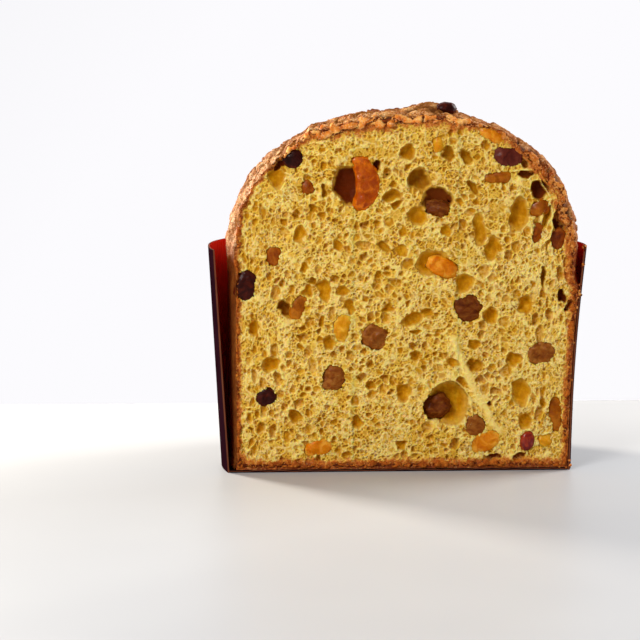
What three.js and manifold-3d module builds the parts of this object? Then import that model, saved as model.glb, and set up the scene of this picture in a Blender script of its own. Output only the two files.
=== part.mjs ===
// A tall panettone with its front third sliced away, standing in what is left of its paper case.
// Millimetres, +Z up. The origin is the centre of the case's round base, on its underside.
// The flat cut face looks along -Y and shows the crumb's hollows and the fruit set in it.
import * as THREE from "three";
import { mergeVertices } from "three/addons/utils/BufferGeometryUtils.js";
import Module from "manifold-3d";

const wasm = await Module();
wasm.setup();

// Driving dimensions
const CUT_Y = -22; // the knife's plane, in front of the loaf's axis
const CASE_BASE_RADIUS = 85.4;
const CASE_RIM_RADIUS = 91.3;
const CASE_HEIGHT = 107.5;
const PAPER = 0.7;
const BASE_THICKNESS = 1.0;
const GAP = 0.3; // air kept between pieces that touch

const BREAD_SHIFT_X = 1.0; // the loaf leans against the case's right wall
const BREAD_LEAN_X = 3.2; // and leans that much further over at its top
const BREAD_HEIGHT = 173.2;
const BREAD_BASE_RADIUS = 83.2;
const SHOULDER_RADIUS = 85.7;
const SHOULDER_Z = 104;
const DOME_POWER = 2.14; // 2 would be an ellipse, more is squarer
const SIDE_POWER = 1.3; // how late the side narrows towards the base

// Colours
const CRUMB_COLOUR = 0xd9b043;
const CASE_COLOUR = 0x3a1f1c;
const RAISIN_COLOUR = 0x2e1418;
const SULTANA_COLOUR = 0x9a4a1c;
const PEEL_COLOUR = 0xe0801c;
const CHESTNUT_COLOUR = 0x5f3520;
const CHERRY_COLOUR = 0x7a1a12;

// Small helpers

const clamp01 = (x) => Math.min(1, Math.max(0, x));
const smooth = (low, high, x) => {
  const t = clamp01((x - low) / (high - low));
  return t * t * (3 - 2 * t);
};

// A repeatable draw from 0 to 1 for each whole number.
const draw = (n) => {
  const s = Math.sin(n * 127.1 + 11.7) * 43758.5453;
  return s - Math.floor(s);
};

// Soft lumps of about the given wavelength, from -1 to 1.
function lumps(p, wavelength, phase) {
  const k = (2 * Math.PI) / wavelength;
  return (
    (Math.sin(k * (p.x + 0.6 * p.y) + phase) +
      Math.sin(k * (0.8 * p.y - 0.7 * p.z) + 2.1 * phase) +
      Math.sin(k * (p.z - 0.5 * p.x) + 3.7 * phase)) /
    3
  );
}

// A closed three.js geometry as a solid, and back.
function solidOf(geometry) {
  const plain = geometry.clone();
  plain.deleteAttribute("normal");
  plain.deleteAttribute("uv");
  const merged = mergeVertices(plain, 1e-4);
  return new wasm.Manifold(
    new wasm.Mesh({
      numProp: 3,
      vertProperties: new Float32Array(merged.getAttribute("position").array),
      triVerts: new Uint32Array(merged.index.array),
    }),
  );
}

function geometryOf(solid) {
  const mesh = solid.getMesh();
  const geometry = new THREE.BufferGeometry();
  geometry.setAttribute(
    "position",
    new THREE.BufferAttribute(new Float32Array(mesh.vertProperties), 3),
  );
  geometry.setIndex(new THREE.BufferAttribute(new Uint32Array(mesh.triVerts), 1));
  geometry.computeVertexNormals();
  return geometry;
}

const largest = (solid) =>
  solid.decompose().sort((a, b) => b.volume() - a.volume())[0];

// Moves each vertex of a geometry by a function that edits the point in place.
function reshape(geometry, edit) {
  const position = geometry.getAttribute("position");
  const p = new THREE.Vector3();
  for (let i = 0; i < position.count; i++) {
    p.fromBufferAttribute(position, i);
    edit(p);
    position.setXYZ(i, p.x, p.y, p.z);
  }
  return geometry;
}

// Everything in front of a plane across Y, or under a plane across Z, to be cut away.
const FAR = 400;
function block(y, z) {
  return solidOf(new THREE.BoxGeometry(FAR, FAR, FAR).translate(0, y, z));
}
const frontBlock = (planeY) => block(planeY - FAR / 2, 0);
const underBlock = (planeZ) => block(0, planeZ - FAR / 2);

// The loaf

const FLOOR_Z = BASE_THICKNESS + GAP;
const SPARE_Z = -12; // the loaf is made longer than it is and cut flat at its floor
const DOME_SHARE = 0.7; // of the way from the top of a ball down to its lowest point
const SIDE_SHARE = 0.93;

// The loaf's outline: radius and height at a share of the way from its top to below its base.
function outline(share) {
  if (share < DOME_SHARE) {
    const angle = (1 - share / DOME_SHARE) * (Math.PI / 2);
    return {
      radius: SHOULDER_RADIUS * Math.cos(angle) ** (2 / DOME_POWER),
      z: SHOULDER_Z + (BREAD_HEIGHT - SHOULDER_Z) * Math.sin(angle) ** (2 / DOME_POWER),
    };
  }
  const down = Math.min(1, (share - DOME_SHARE) / (SIDE_SHARE - DOME_SHARE));
  const inward = clamp01((share - SIDE_SHARE) / (1 - SIDE_SHARE));
  const side = SHOULDER_RADIUS + (BREAD_BASE_RADIUS - SHOULDER_RADIUS) * down ** SIDE_POWER;
  return { radius: side * (1 - inward), z: SHOULDER_Z + (SPARE_Z - SHOULDER_Z) * down };
}

const axisX = (z) => BREAD_SHIFT_X + BREAD_LEAN_X * (z / BREAD_HEIGHT);

// The point of the smooth loaf in a ball's direction.
function loafPoint(direction) {
  const { radius, z } = outline(Math.acos(THREE.MathUtils.clamp(direction.z, -1, 1)) / Math.PI);
  const across = Math.hypot(direction.x, direction.y) || 1;
  const at = new THREE.Vector3((radius * direction.x) / across, (radius * direction.y) / across, z);
  if (Math.hypot(direction.x, direction.y) < 1e-6) at.set(0, 0, z);
  at.x += axisX(z);
  return at;
}

// The baked glaze breaks into plates: seeds spread evenly over the dome, each with its own height.
const PLATES = 230;
const PLATE_LOW = DOME_SHARE; // the lowest seed, as a share of the way down the ball
const PLATE_JITTER = 5;
const GROOVE_WIDTH = 4.5;
const GROOVE_DEPTH = 1.7;
const PLATE_STEP = 1.1;
const plateSeeds = Array.from({ length: PLATES }, (_, i) => {
  const lowest = (1 - Math.cos(PLATE_LOW * Math.PI)) * ((i + 0.5) / PLATES);
  const z = 1 - lowest;
  const across = Math.sqrt(1 - z * z);
  const turn = i * Math.PI * (3 - Math.sqrt(5));
  const seed = loafPoint(new THREE.Vector3(across * Math.cos(turn), across * Math.sin(turn), z));
  seed.x += PLATE_JITTER * (draw(3 * i) - 0.5);
  seed.y += PLATE_JITTER * (draw(3 * i + 1) - 0.5);
  seed.z += PLATE_JITTER * (draw(3 * i + 2) - 0.5);
  return seed;
});

function plateHeight(p) {
  let near = Infinity;
  let next = Infinity;
  let own = 0;
  plateSeeds.forEach((seed, i) => {
    const d = seed.distanceTo(p);
    if (d < near) {
      next = near;
      near = d;
      own = i;
    } else if (d < next) next = d;
  });
  const edge = smooth(0, GROOVE_WIDTH, next - near);
  return GROOVE_DEPTH * (edge - 1) + PLATE_STEP * (draw(own + 0.5) - 0.5) * edge;
}

// Broad swellings of the top crust: where, how wide and how high.
const SWELLINGS = [
  { x: -30, y: -20, reach: 14, rise: 1.6 },
  { x: -22, y: -1, reach: 9, rise: 3.0 },
  { x: 16, y: -5, reach: 15, rise: 4.2 },
  { x: 46, y: -6, reach: 12, rise: 1.6 },
  { x: -10, y: 40, reach: 22, rise: 2.0 },
  { x: 44, y: 48, reach: 18, rise: 1.8 },
  { x: -54, y: 36, reach: 16, rise: 1.6 },
];

const GLAZE_Z = [103, 117]; // between these heights the smooth side turns into glazed top
const SIDE_DENT = 0.7; // the deepest dent of the side, over a wavelength
const SIDE_WAVE = 34;
const TOP_LUMP = 0.8; // the highest lump of the top, over a wavelength
const TOP_WAVE = 46;

// How far the crust stands out from the smooth loaf.
function crustRelief(p) {
  const glazed = smooth(...GLAZE_Z, p.z);
  const side = -0.5 * SIDE_DENT * (1 + lumps(p, SIDE_WAVE, 0.4));
  const broad = SWELLINGS.reduce(
    (sum, s) => sum + s.rise * Math.exp(-((p.x - s.x) ** 2 + (p.y - s.y) ** 2) / s.reach ** 2),
    0,
  );
  const top = broad + TOP_LUMP * lumps(p, TOP_WAVE, 1.3) + plateHeight(p);
  return p.z < FLOOR_Z ? 0 : side * (1 - glazed) + top * glazed;
}

const BALL_DETAIL = 16;
const BALL_TILT = 0.3; // keeps the ball's own corners off the loaf's axis
const SLOPE_STEP = 0.02; // how far up the ball the loaf's slope is measured

// The direction that the smooth loaf faces at a point, from another a little above it.
function outwardAt(at, above) {
  const across = (point) => Math.hypot(point.x - axisX(point.z), point.y);
  const slope = Math.atan2(across(at) - across(above), Math.max(1e-3, above.z - at.z));
  const outward = new THREE.Vector3(at.x - axisX(at.z), at.y, 0).normalize();
  return outward.multiplyScalar(Math.cos(slope)).setZ(Math.sin(slope));
}

function wholeLoaf() {
  const ball = new THREE.IcosahedronGeometry(1, BALL_DETAIL);
  ball.rotateX(BALL_TILT);
  return solidOf(
    reshape(ball, (p) => {
      const direction = p.clone().normalize();
      const higher = direction.clone().setZ(Math.min(1, direction.z + SLOPE_STEP)).normalize();
      const at = loafPoint(direction);
      p.copy(at).addScaledVector(outwardAt(at, loafPoint(higher)), crustRelief(at));
    }),
  );
}

// The cut face's main hollows: centre, width, height and depth in the face, and a lean in degrees.
const HOLLOWS = [
  { name: "big_bubble", x: 23.5, z: 33.2, w: 19.5, h: 21, deep: 11, lean: 0 },
  { name: "pan_mid", x: 17.5, z: 100.4, w: 22, h: 14, deep: 5, lean: -12 },
  { name: "beside_peel", x: -27.0, z: 137.2, w: 9.5, h: 20, deep: 9, lean: 8 },
  { name: "dark_top", x: 8.9, z: 140.6, w: 11.5, h: 12, deep: 8, lean: 0 },
  { name: "above_chestnut", x: 17.0, z: 131.5, w: 15, h: 11.5, deep: 8, lean: 0 },
  { name: "smooth_top", x: 8.4, z: 123.4, w: 9.6, h: 10.2, deep: 5, lean: 0 },
  { name: "round_top", x: 3.1, z: 153.4, w: 7.2, h: 7.4, deep: 4.5, lean: 0 },
  { name: "tall_right", x: 56.8, z: 123.2, w: 8.6, h: 17.3, deep: 6, lean: 5 },
  { name: "cavity_right", x: 66.9, z: 136.0, w: 8.4, h: 11.5, deep: 7, lean: 0 },
  { name: "tall_edge", x: 75.0, z: 121.5, w: 7, h: 17, deep: 7, lean: -8 },
  { name: "tan_under_crust", x: -59.0, z: 141.8, w: 8.5, h: 11, deep: 5, lean: -25 },
  { name: "gold_mid_right", x: 43.9, z: 106.7, w: 7.4, h: 12.5, deep: 4.5, lean: 10 },
  { name: "pale_above_chestnut", x: 31.0, z: 91.2, w: 10.4, h: 10.4, deep: 5, lean: 0 },
  { name: "beside_chestnut", x: 44.2, z: 75.0, w: 8.6, h: 9, deep: 5.5, lean: 0 },
  { name: "round_edge", x: 60.6, z: 80.6, w: 7.6, h: 9.6, deep: 5, lean: 18 },
  { name: "ochre_mid", x: 6.5, z: 73.8, w: 11, h: 7, deep: 5, lean: -18 },
  { name: "flat_low", x: 35.2, z: 50.6, w: 11.5, h: 6, deep: 4.5, lean: -16 },
  { name: "pale_low_right", x: 58.7, z: 38.0, w: 9.6, h: 13.8, deep: 5.5, lean: 6 },
  { name: "tall_low", x: 2.2, z: 38.5, w: 6.6, h: 10, deep: 4, lean: -12 },
  { name: "tall_left", x: -36.2, z: 88.3, w: 6.8, h: 11, deep: 4, lean: -10 },
  { name: "beside_wedge", x: -54.6, z: 79.0, w: 6.5, h: 10, deep: 6, lean: -30 },
  { name: "low_left", x: -62.0, z: 52.0, w: 9, h: 8, deep: 4.5, lean: 12 },
];

// A ball with more triangles where it is large.
const LARGE_AREA = 150; // width times height
const ballFor = (w, h) => new THREE.IcosahedronGeometry(1, w * h > LARGE_AREA ? 2 : 1);

// A hollow, narrowing into the crumb.
function hollowSolid({ x, z, w, h, deep, lean }) {
  const ball = ballFor(w, h);
  ball.scale(w / 2, deep, h / 2);
  ball.rotateY((-lean * Math.PI) / 180);
  ball.translate(x, CUT_Y, z);
  return solidOf(ball);
}

// Fruit and chestnut pieces set in the face. back is how far the centre lies behind the cut,
// and set is how far the cut surface lies behind the bread's: below 0 it stands proud.
const FRUIT = {
  raisin: [
    { name: "raisin_left_top", x: -51.0, z: 150.4, w: 9.6, h: 9, back: 2, set: 0.8, lean: 30 },
    { name: "raisin_right_top", x: 51.3, z: 151.3, w: 13.8, h: 9.6, back: 2, set: 0.2, lean: -6 },
    { name: "raisin_left_low", x: -73.6, z: 90.3, w: 9.4, h: 14.6, back: 2, set: 0.5, lean: -10 },
    { name: "raisin_right", x: 75.4, z: 112.0, w: 7.6, h: 9.6, back: 3, set: 1.6, lean: -10 },
    { name: "raisin_low_left", x: -64.0, z: 36.5, w: 10, h: 8, back: 2, set: 0.4, lean: 15 },
  ],
  cherry: [
    { name: "cherry_low", x: 61.8, z: 14.3, w: 7.2, h: 10.2, back: 1, set: -1.2, lean: -14 },
  ],
  peel: [
    { name: "peel_big", x: -16.9, z: 138.8, w: 14.2, h: 24.4, back: 3, set: 0.3, lean: 3, bend: -0.012 },
    { name: "peel_mid", x: 20.4, z: 98.4, w: 14.8, h: 9.4, back: 5, set: 1.8, lean: -22, bend: 0.02 },
    { name: "peel_low", x: 41.5, z: 13.8, w: 14.6, h: 8.6, back: 2, set: 0.3, lean: 22, bend: 0.02 },
    { name: "peel_sliver", x: -28.0, z: 69.5, w: 7, h: 12.8, back: 2, set: 0.4, lean: -12, bend: 0.03 },
    { name: "peel_wedge", x: -48.8, z: 79.4, w: 6.4, h: 12.4, back: 3, set: 1.4, lean: -20, bend: 0.02 },
    { name: "peel_small_top", x: 17.5, z: 157.0, w: 5, h: 7.6, back: 2, set: 0.4, lean: 12 },
    { name: "peel_upper_right", x: 46.5, z: 141.4, w: 12.6, h: 5.6, back: 2, set: 0.5, lean: 4 },
    { name: "peel_right", x: 66.4, z: 126.6, w: 9.4, h: 7.2, back: 3, set: 0.8, lean: 18, bend: 0.03 },
    { name: "peel_top_right", x: 43.4, z: 161.6, w: 13, h: 5.4, back: 2, set: 0.4, lean: -22 },
    { name: "peel_gold", x: 70.6, z: 14.6, w: 6.4, h: 6.6, back: 2, set: 0.5, lean: 10 },
    { name: "peel_low_left", x: -39.0, z: 11.5, w: 13, h: 7, back: 2, set: 0.4, lean: 16, bend: 0.02 },
    { name: "citron_right", x: 75.6, z: 27.2, w: 5.8, h: 18, back: 3, set: 1.6, lean: 2 },
  ],
  chestnut: [
    { name: "chestnut_top", x: 17.8, z: 126.6, w: 11.4, h: 7.6, back: 4, set: 2.2, lean: -10 },
    { name: "chestnut_mid", x: 32.8, z: 78.9, w: 11.8, h: 12.2, back: 3, set: 1.2, lean: 26 },
    { name: "chestnut_left", x: -11.7, z: 65.1, w: 11.2, h: 10.6, back: 2, set: 0.6, lean: -30 },
    { name: "chestnut_right", x: 68.2, z: 57.0, w: 12, h: 10.6, back: 2, set: 0.8, lean: 12 },
    { name: "chestnut_bubble", x: 18.6, z: 30.2, w: 9.6, h: 10.4, back: 8, set: 3.6, lean: 8 },
    { name: "chestnut_low", x: 36.6, z: 21.9, w: 9.4, h: 10, back: 2, set: 0.5, lean: 14 },
    { name: "chestnut_low_left", x: -32.0, z: 45.5, w: 10.4, h: 11, back: 2, set: 0.6, lean: -18 },
  ],
  sultana: [
    { name: "sultana_left", x: -60.4, z: 104.3, w: 7, h: 9.6, back: 3, set: 1.4, lean: -8 },
    { name: "sultana_upper_left", x: -44.3, z: 137.2, w: 7, h: 7, back: 3, set: 1.6, lean: 0 },
    { name: "sultana_right", x: 65.8, z: 114.8, w: 5.8, h: 10.4, back: 3, set: 1.6, lean: -16 },
  ],
};
const PIECES = Object.entries(FRUIT).flatMap(([kind, rows]) => rows.map((row) => ({ kind, ...row })));

// The raisin that baked into the top crust, just behind the cut.
const TOP_RAISIN = { x: 22.4, y: -12, z: 173.7, w: 10.4, deep: 9, h: 7.4 };

const KINDS = {
  raisin: { power: 2.2, thick: 8, wrinkle: 0.07, colour: RAISIN_COLOUR, roughness: 0.35 },
  sultana: { power: 2.2, thick: 7, wrinkle: 0.05, colour: SULTANA_COLOUR, roughness: 0.35 },
  cherry: { power: 2.0, thick: 8, wrinkle: 0.03, colour: CHERRY_COLOUR, roughness: 0.2 },
  peel: { power: 3.2, thick: 8, wrinkle: 0.02, colour: PEEL_COLOUR, roughness: 0.3 },
  chestnut: { power: 3.0, thick: 9, wrinkle: 0.04, colour: CHESTNUT_COLOUR, roughness: 0.5 },
};

// A whole piece of fruit: a ball squared off by its kind's power, wrinkled and bent, grown by a margin.
function fruitShape({ kind, x, z, w, h, back, lean, bend = 0 }, margin) {
  const { power, thick, wrinkle } = KINDS[kind];
  const ball = ballFor(w, h);
  const phase = x * 0.37 + z * 0.11;
  reshape(ball, (p) => {
    const sum = Math.abs(p.x) ** power + Math.abs(p.y) ** power + Math.abs(p.z) ** power;
    const norm = sum ** (1 / power);
    const folds = Math.sin(7 * p.x + phase) * Math.sin(6 * p.z - phase) + Math.sin(5 * p.y + phase);
    const crease = 1 + wrinkle * folds;
    p.multiplyScalar(crease / norm);
    p.set(p.x * (w / 2 + margin), p.y * (thick / 2 + margin), p.z * (h / 2 + margin));
    p.x += bend * p.z * p.z;
  });
  ball.rotateY((-lean * Math.PI) / 180);
  ball.translate(x, CUT_Y + back, z);
  return solidOf(ball);
}

const POCKET_MARGIN = 0.4;
const cutFruit = (fruit) => fruitShape(fruit, 0).subtract(frontBlock(CUT_Y + fruit.set));

function topRaisinShape(margin) {
  const { x, y, z, w, deep, h } = TOP_RAISIN;
  const ball = ballFor(w, deep);
  reshape(ball, (p) => {
    p.multiplyScalar(1 + KINDS.raisin.wrinkle * Math.sin(8 * p.x) * Math.sin(6 * p.y + 1));
    p.set(p.x * (w / 2 + margin), p.y * (deep / 2 + margin), p.z * (h / 2 + margin));
  });
  ball.translate(x, y, z);
  return solidOf(ball);
}

function breadSolid() {
  let bread = wholeLoaf().subtract(frontBlock(CUT_Y)).subtract(underBlock(FLOOR_Z));
  for (const hollow of HOLLOWS) bread = bread.subtract(hollowSolid(hollow));
  for (const fruit of PIECES) bread = bread.subtract(fruitShape(fruit, POCKET_MARGIN));
  return largest(bread.subtract(topRaisinShape(POCKET_MARGIN)));
}

// The paper case

const CASE_SIDES = 84;
const CASE_ROWS = 5;
const wallRadius = (z) => CASE_BASE_RADIUS + (CASE_RIM_RADIUS - CASE_BASE_RADIUS) * (z / CASE_HEIGHT);

// The wall waves outward a little more towards its free rim.
const WAVE = 0.45;
function wave(angle, z) {
  const rise = z / CASE_HEIGHT;
  const round = Math.sin(9 * angle + 1.2) * Math.sin(4 * angle + 0.5 + 1.5 * rise);
  return WAVE * rise * (1 + round);
}

function caseWallSolid() {
  const heights = Array.from({ length: CASE_ROWS + 1 }, (_, i) => (CASE_HEIGHT * i) / CASE_ROWS);
  const outer = heights.map((z) => new THREE.Vector2(wallRadius(z), z));
  const inner = heights.map((z) => new THREE.Vector2(wallRadius(z) - PAPER, z)).reverse();
  const wall = new THREE.LatheGeometry([...outer, ...inner, outer[0]], CASE_SIDES);
  wall.rotateX(Math.PI / 2);
  reshape(wall, (p) => {
    const angle = Math.atan2(p.y, p.x);
    const stretch = 1 + wave(angle, p.z) / Math.hypot(p.x, p.y);
    p.x *= stretch;
    p.y *= stretch;
  });
  return largest(solidOf(wall).subtract(frontBlock(CUT_Y)));
}

function caseBaseSolid() {
  const disc = new THREE.CylinderGeometry(
    CASE_BASE_RADIUS - PAPER - GAP,
    CASE_BASE_RADIUS - PAPER - GAP,
    BASE_THICKNESS,
    CASE_SIDES,
  );
  disc.rotateX(Math.PI / 2);
  disc.translate(0, 0, BASE_THICKNESS / 2);
  return solidOf(disc).subtract(frontBlock(CUT_Y));
}

// The parts, each a named mesh

const panettone = new THREE.Group();

function addPart(name, solid, colour, roughness) {
  const material = new THREE.MeshStandardMaterial({ color: colour, roughness, metalness: 0 });
  const mesh = new THREE.Mesh(geometryOf(solid), material);
  mesh.name = name;
  panettone.add(mesh);
}

addPart("bread", breadSolid(), CRUMB_COLOUR, 0.8);
addPart("case_wall", caseWallSolid(), CASE_COLOUR, 0.7);
addPart("case_base", caseBaseSolid(), CASE_COLOUR, 0.7);
addPart("raisin_on_top", topRaisinShape(0), KINDS.raisin.colour, KINDS.raisin.roughness);
for (const fruit of PIECES) {
  const { colour, roughness } = KINDS[fruit.kind];
  addPart(fruit.name, cutFruit(fruit), colour, roughness);
}

export default panettone;
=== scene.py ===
import itertools
import math

import bmesh
import bpy
import numpy as np
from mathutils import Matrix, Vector
from mathutils.bvhtree import BVHTree
from mathutils.kdtree import KDTree


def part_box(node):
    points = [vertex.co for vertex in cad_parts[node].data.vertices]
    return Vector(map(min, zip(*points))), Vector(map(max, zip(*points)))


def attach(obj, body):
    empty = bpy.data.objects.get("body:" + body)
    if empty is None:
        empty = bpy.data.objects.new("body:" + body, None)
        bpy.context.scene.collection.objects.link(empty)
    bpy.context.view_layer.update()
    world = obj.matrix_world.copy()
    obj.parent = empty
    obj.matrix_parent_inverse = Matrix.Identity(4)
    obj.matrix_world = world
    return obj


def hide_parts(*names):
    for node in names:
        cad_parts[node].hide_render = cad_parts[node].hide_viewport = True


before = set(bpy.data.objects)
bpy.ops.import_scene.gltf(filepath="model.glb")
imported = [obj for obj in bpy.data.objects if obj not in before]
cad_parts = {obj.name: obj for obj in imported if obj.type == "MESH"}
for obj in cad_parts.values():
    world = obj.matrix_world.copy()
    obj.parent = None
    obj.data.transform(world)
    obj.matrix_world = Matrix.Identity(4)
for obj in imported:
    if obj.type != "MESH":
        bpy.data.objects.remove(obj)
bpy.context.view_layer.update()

MM = 0.001

# Sizes of the solids
CUT_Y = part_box("bread")[0].y / MM
CASE_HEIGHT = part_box("case_wall")[1].z / MM
CASE_BASE_RADIUS = 85.4
CASE_RIM_RADIUS = 91.3
PAPER = 0.7
BASE_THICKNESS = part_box("case_base")[1].z / MM
FLOOR_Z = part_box("bread")[0].z / MM
BREAD_SHIFT_X = 1.0
BREAD_LEAN_X = 3.2
BREAD_HEIGHT = 173.2
BREAD_BASE_RADIUS = 83.2
SHOULDER_RADIUS = 85.7
SHOULDER_Z = 104
SPARE_Z = -12  # where the curve of the loaf's side ends, below the case's base
DOME_POWER = 2.14
SIDE_POWER = 1.3

# How fine the meshes are
CRUMB_STEP = 0.31
CRUMB_TRIANGLES = 190000
CRUST_STEP = 0.76
BACK_STEP = 1.1
FINE_STEP = 0.5
FRUIT_VOXEL = 0.48
SEED = 11


# Numbers and noise

MULTIPLIERS = (374761393, 668265263, 1440670441, 1013904223)
SCRAMBLE = 1274126177
LOW_32_BITS = 0xFFFFFFFF
LOW_24_BITS = 0xFFFFFF


def clamp01(x):
    return np.clip(x, 0.0, 1.0)


def smooth(low, high, x):
    """Rises from 0 at low to 1 at high."""
    t = clamp01((x - low) / (high - low))
    return t * t * (3 - 2 * t)


def fade(low, high, x):
    """Falls from 1 at low to 0 at high."""
    return 1 - smooth(low, high, x)


def between(low, rise, fall, high, x):
    """1 from rise to fall, and 0 below low and above high."""
    return smooth(low, rise, x) * fade(fall, high, x)


def draw(n):
    """A repeatable draw from 0 to 1 for a number, the same as the model's own."""
    s = math.sin(n * 127.1 + 11.7) * 43758.5453
    return s - math.floor(s)


def draws(start, count):
    """Repeatable draws for a number and those that follow it."""
    return np.array([draw(start + k) for k in range(count)])


def lattice(ix, iy, iz, seed):
    """A repeatable number from 0 to 1 for each place of a whole-number grid."""
    n = sum(factor * whole for factor, whole in zip(MULTIPLIERS, (ix, iy, iz, seed)))
    n = (n ^ (n >> 13)) & LOW_32_BITS
    n = (n * SCRAMBLE) & LOW_32_BITS
    n = n ^ (n >> 16)
    return (n & LOW_24_BITS) / LOW_24_BITS


def noise(p, size, seed=0):
    """Smooth noise from -1 to 1 at (n, 3) points, in lumps about size across."""
    q = p / size
    cell = np.floor(q).astype(np.int64)
    f = q - cell
    f = f * f * (3 - 2 * f)
    total = np.zeros(len(p))
    for dx, dy, dz in itertools.product((0, 1), repeat=3):
        weight = np.abs(1 - dx - f[:, 0]) * np.abs(1 - dy - f[:, 1]) * np.abs(1 - dz - f[:, 2])
        total += weight * lattice(cell[:, 0] + dx, cell[:, 1] + dy, cell[:, 2] + dz, seed)
    return 2 * total - 1


def fbm(p, size, octaves, seed=0):
    """Noise with finer and fainter noise on top, from about -1 to 1."""
    total = np.zeros(len(p))
    for k in range(octaves):
        total += noise(p, size / 2 ** k, seed + 31 * k) / 2 ** k
    return total / (2 - 2 ** (1 - octaves))


# Meshes

def join(*parts):
    """Points from their x, y and z, or faces from their corners. A single number serves for all."""
    return np.stack(np.broadcast_arrays(*parts), -1)


def grid_faces(rows, columns, closed=False):
    """Quads between neighbouring points of a grid stored row after row."""
    last = columns if closed else columns - 1
    r, c = np.meshgrid(np.arange(rows - 1), np.arange(last), indexing="ij")
    here = r * columns + c
    right = r * columns + (c + 1) % columns
    return join(here, right, right + columns, here + columns).reshape(-1, 4)


def make_mesh(name, points, faces, materials, masks=None, face_material=None):
    """A smooth-shaded object from millimetre points. masks holds a number for each point, by name."""
    mesh = bpy.data.meshes.new(name)
    faces = [np.asarray(f) for f in faces] if isinstance(faces, list) else [faces]
    loops = np.concatenate([f.reshape(-1) for f in faces]).astype(np.int32)
    sizes = np.concatenate([np.full(len(f), f.shape[1], np.int32) for f in faces])
    mesh.vertices.add(len(points))
    set_points(mesh, points)
    mesh.loops.add(len(loops))
    mesh.loops.foreach_set("vertex_index", loops)
    mesh.polygons.add(len(sizes))
    mesh.polygons.foreach_set("loop_start", np.concatenate([[0], np.cumsum(sizes)[:-1]]).astype(np.int32))
    for material in materials:
        mesh.materials.append(material)
    if face_material is not None:
        mesh.polygons.foreach_set("material_index", np.asarray(face_material, np.int32))
    mesh.update(calc_edges=True)
    mesh.validate()
    set_masks(mesh, masks or {})
    mesh.shade_smooth()
    return new_object(name, mesh)


def new_object(name, data):
    made = bpy.data.objects.new(name, data)
    bpy.context.scene.collection.objects.link(made)
    return made


def set_points(mesh, points):
    """Puts a mesh's points at places given in millimetres."""
    mesh.vertices.foreach_set("co", (np.asarray(points, float) * MM).astype(np.float32).reshape(-1))


def set_masks(mesh, masks):
    for key, values in masks.items():
        layer = mesh.attributes.get(key) or mesh.attributes.new(key, "FLOAT", "POINT")
        layer.data.foreach_set("value", np.asarray(values, np.float32))


def points_of(mesh):
    """A mesh's points, in millimetres."""
    flat = np.zeros(len(mesh.vertices) * 3, np.float32)
    mesh.vertices.foreach_get("co", flat)
    return flat.reshape(-1, 3).astype(float) / MM


def edge_ends(mesh):
    """The two points of each edge."""
    ends = np.zeros(len(mesh.edges) * 2, np.int32)
    mesh.edges.foreach_get("vertices", ends)
    return ends.reshape(-1, 2)


def middle_and_half(points):
    """The middle of the points' box, and half its size."""
    low, high = points.min(0), points.max(0)
    return (low + high) / 2, (high - low) / 2


def tree_of(points):
    """A search tree that finds the nearest of some points."""
    tree = KDTree(len(points))
    for i, point in enumerate(points):
        tree.insert(point, i)
    tree.balance()
    return tree


def distance_along(x, z):
    """How far along a line each of its points is."""
    return np.concatenate([[0], np.cumsum(np.hypot(np.diff(x), np.diff(z)))])


def apply_modifiers(piece):
    """Replaces a piece's mesh by what its modifiers make of it."""
    depsgraph = bpy.context.evaluated_depsgraph_get()
    mesh = bpy.data.meshes.new_from_object(piece.evaluated_get(depsgraph))
    piece.modifiers.clear()
    piece.data = mesh


def place(piece, slot, *nodes):
    """The piece rides on the one body and stands for the CAD nodes named. Its slot is not used."""
    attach(piece, "root")
    if nodes:
        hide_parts(*nodes)
    return piece


# Materials

def linear(red, green, blue):
    """A colour given as on screen, 0 to 255, as Blender's linear values."""
    def one(v):
        v = v / 255
        return v / 12.92 if v <= 0.04045 else ((v + 0.055) / 1.055) ** 2.4
    return (one(red), one(green), one(blue), 1.0)


def set_stops(band, stops):
    """Gives a colour ramp its stops, each (place, colour as on screen)."""
    while len(band.elements) < len(stops):
        band.elements.new(0.5)
    for element, (at, colour) in zip(band.elements, stops):
        element.position = at
        element.color = linear(*colour)


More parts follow.
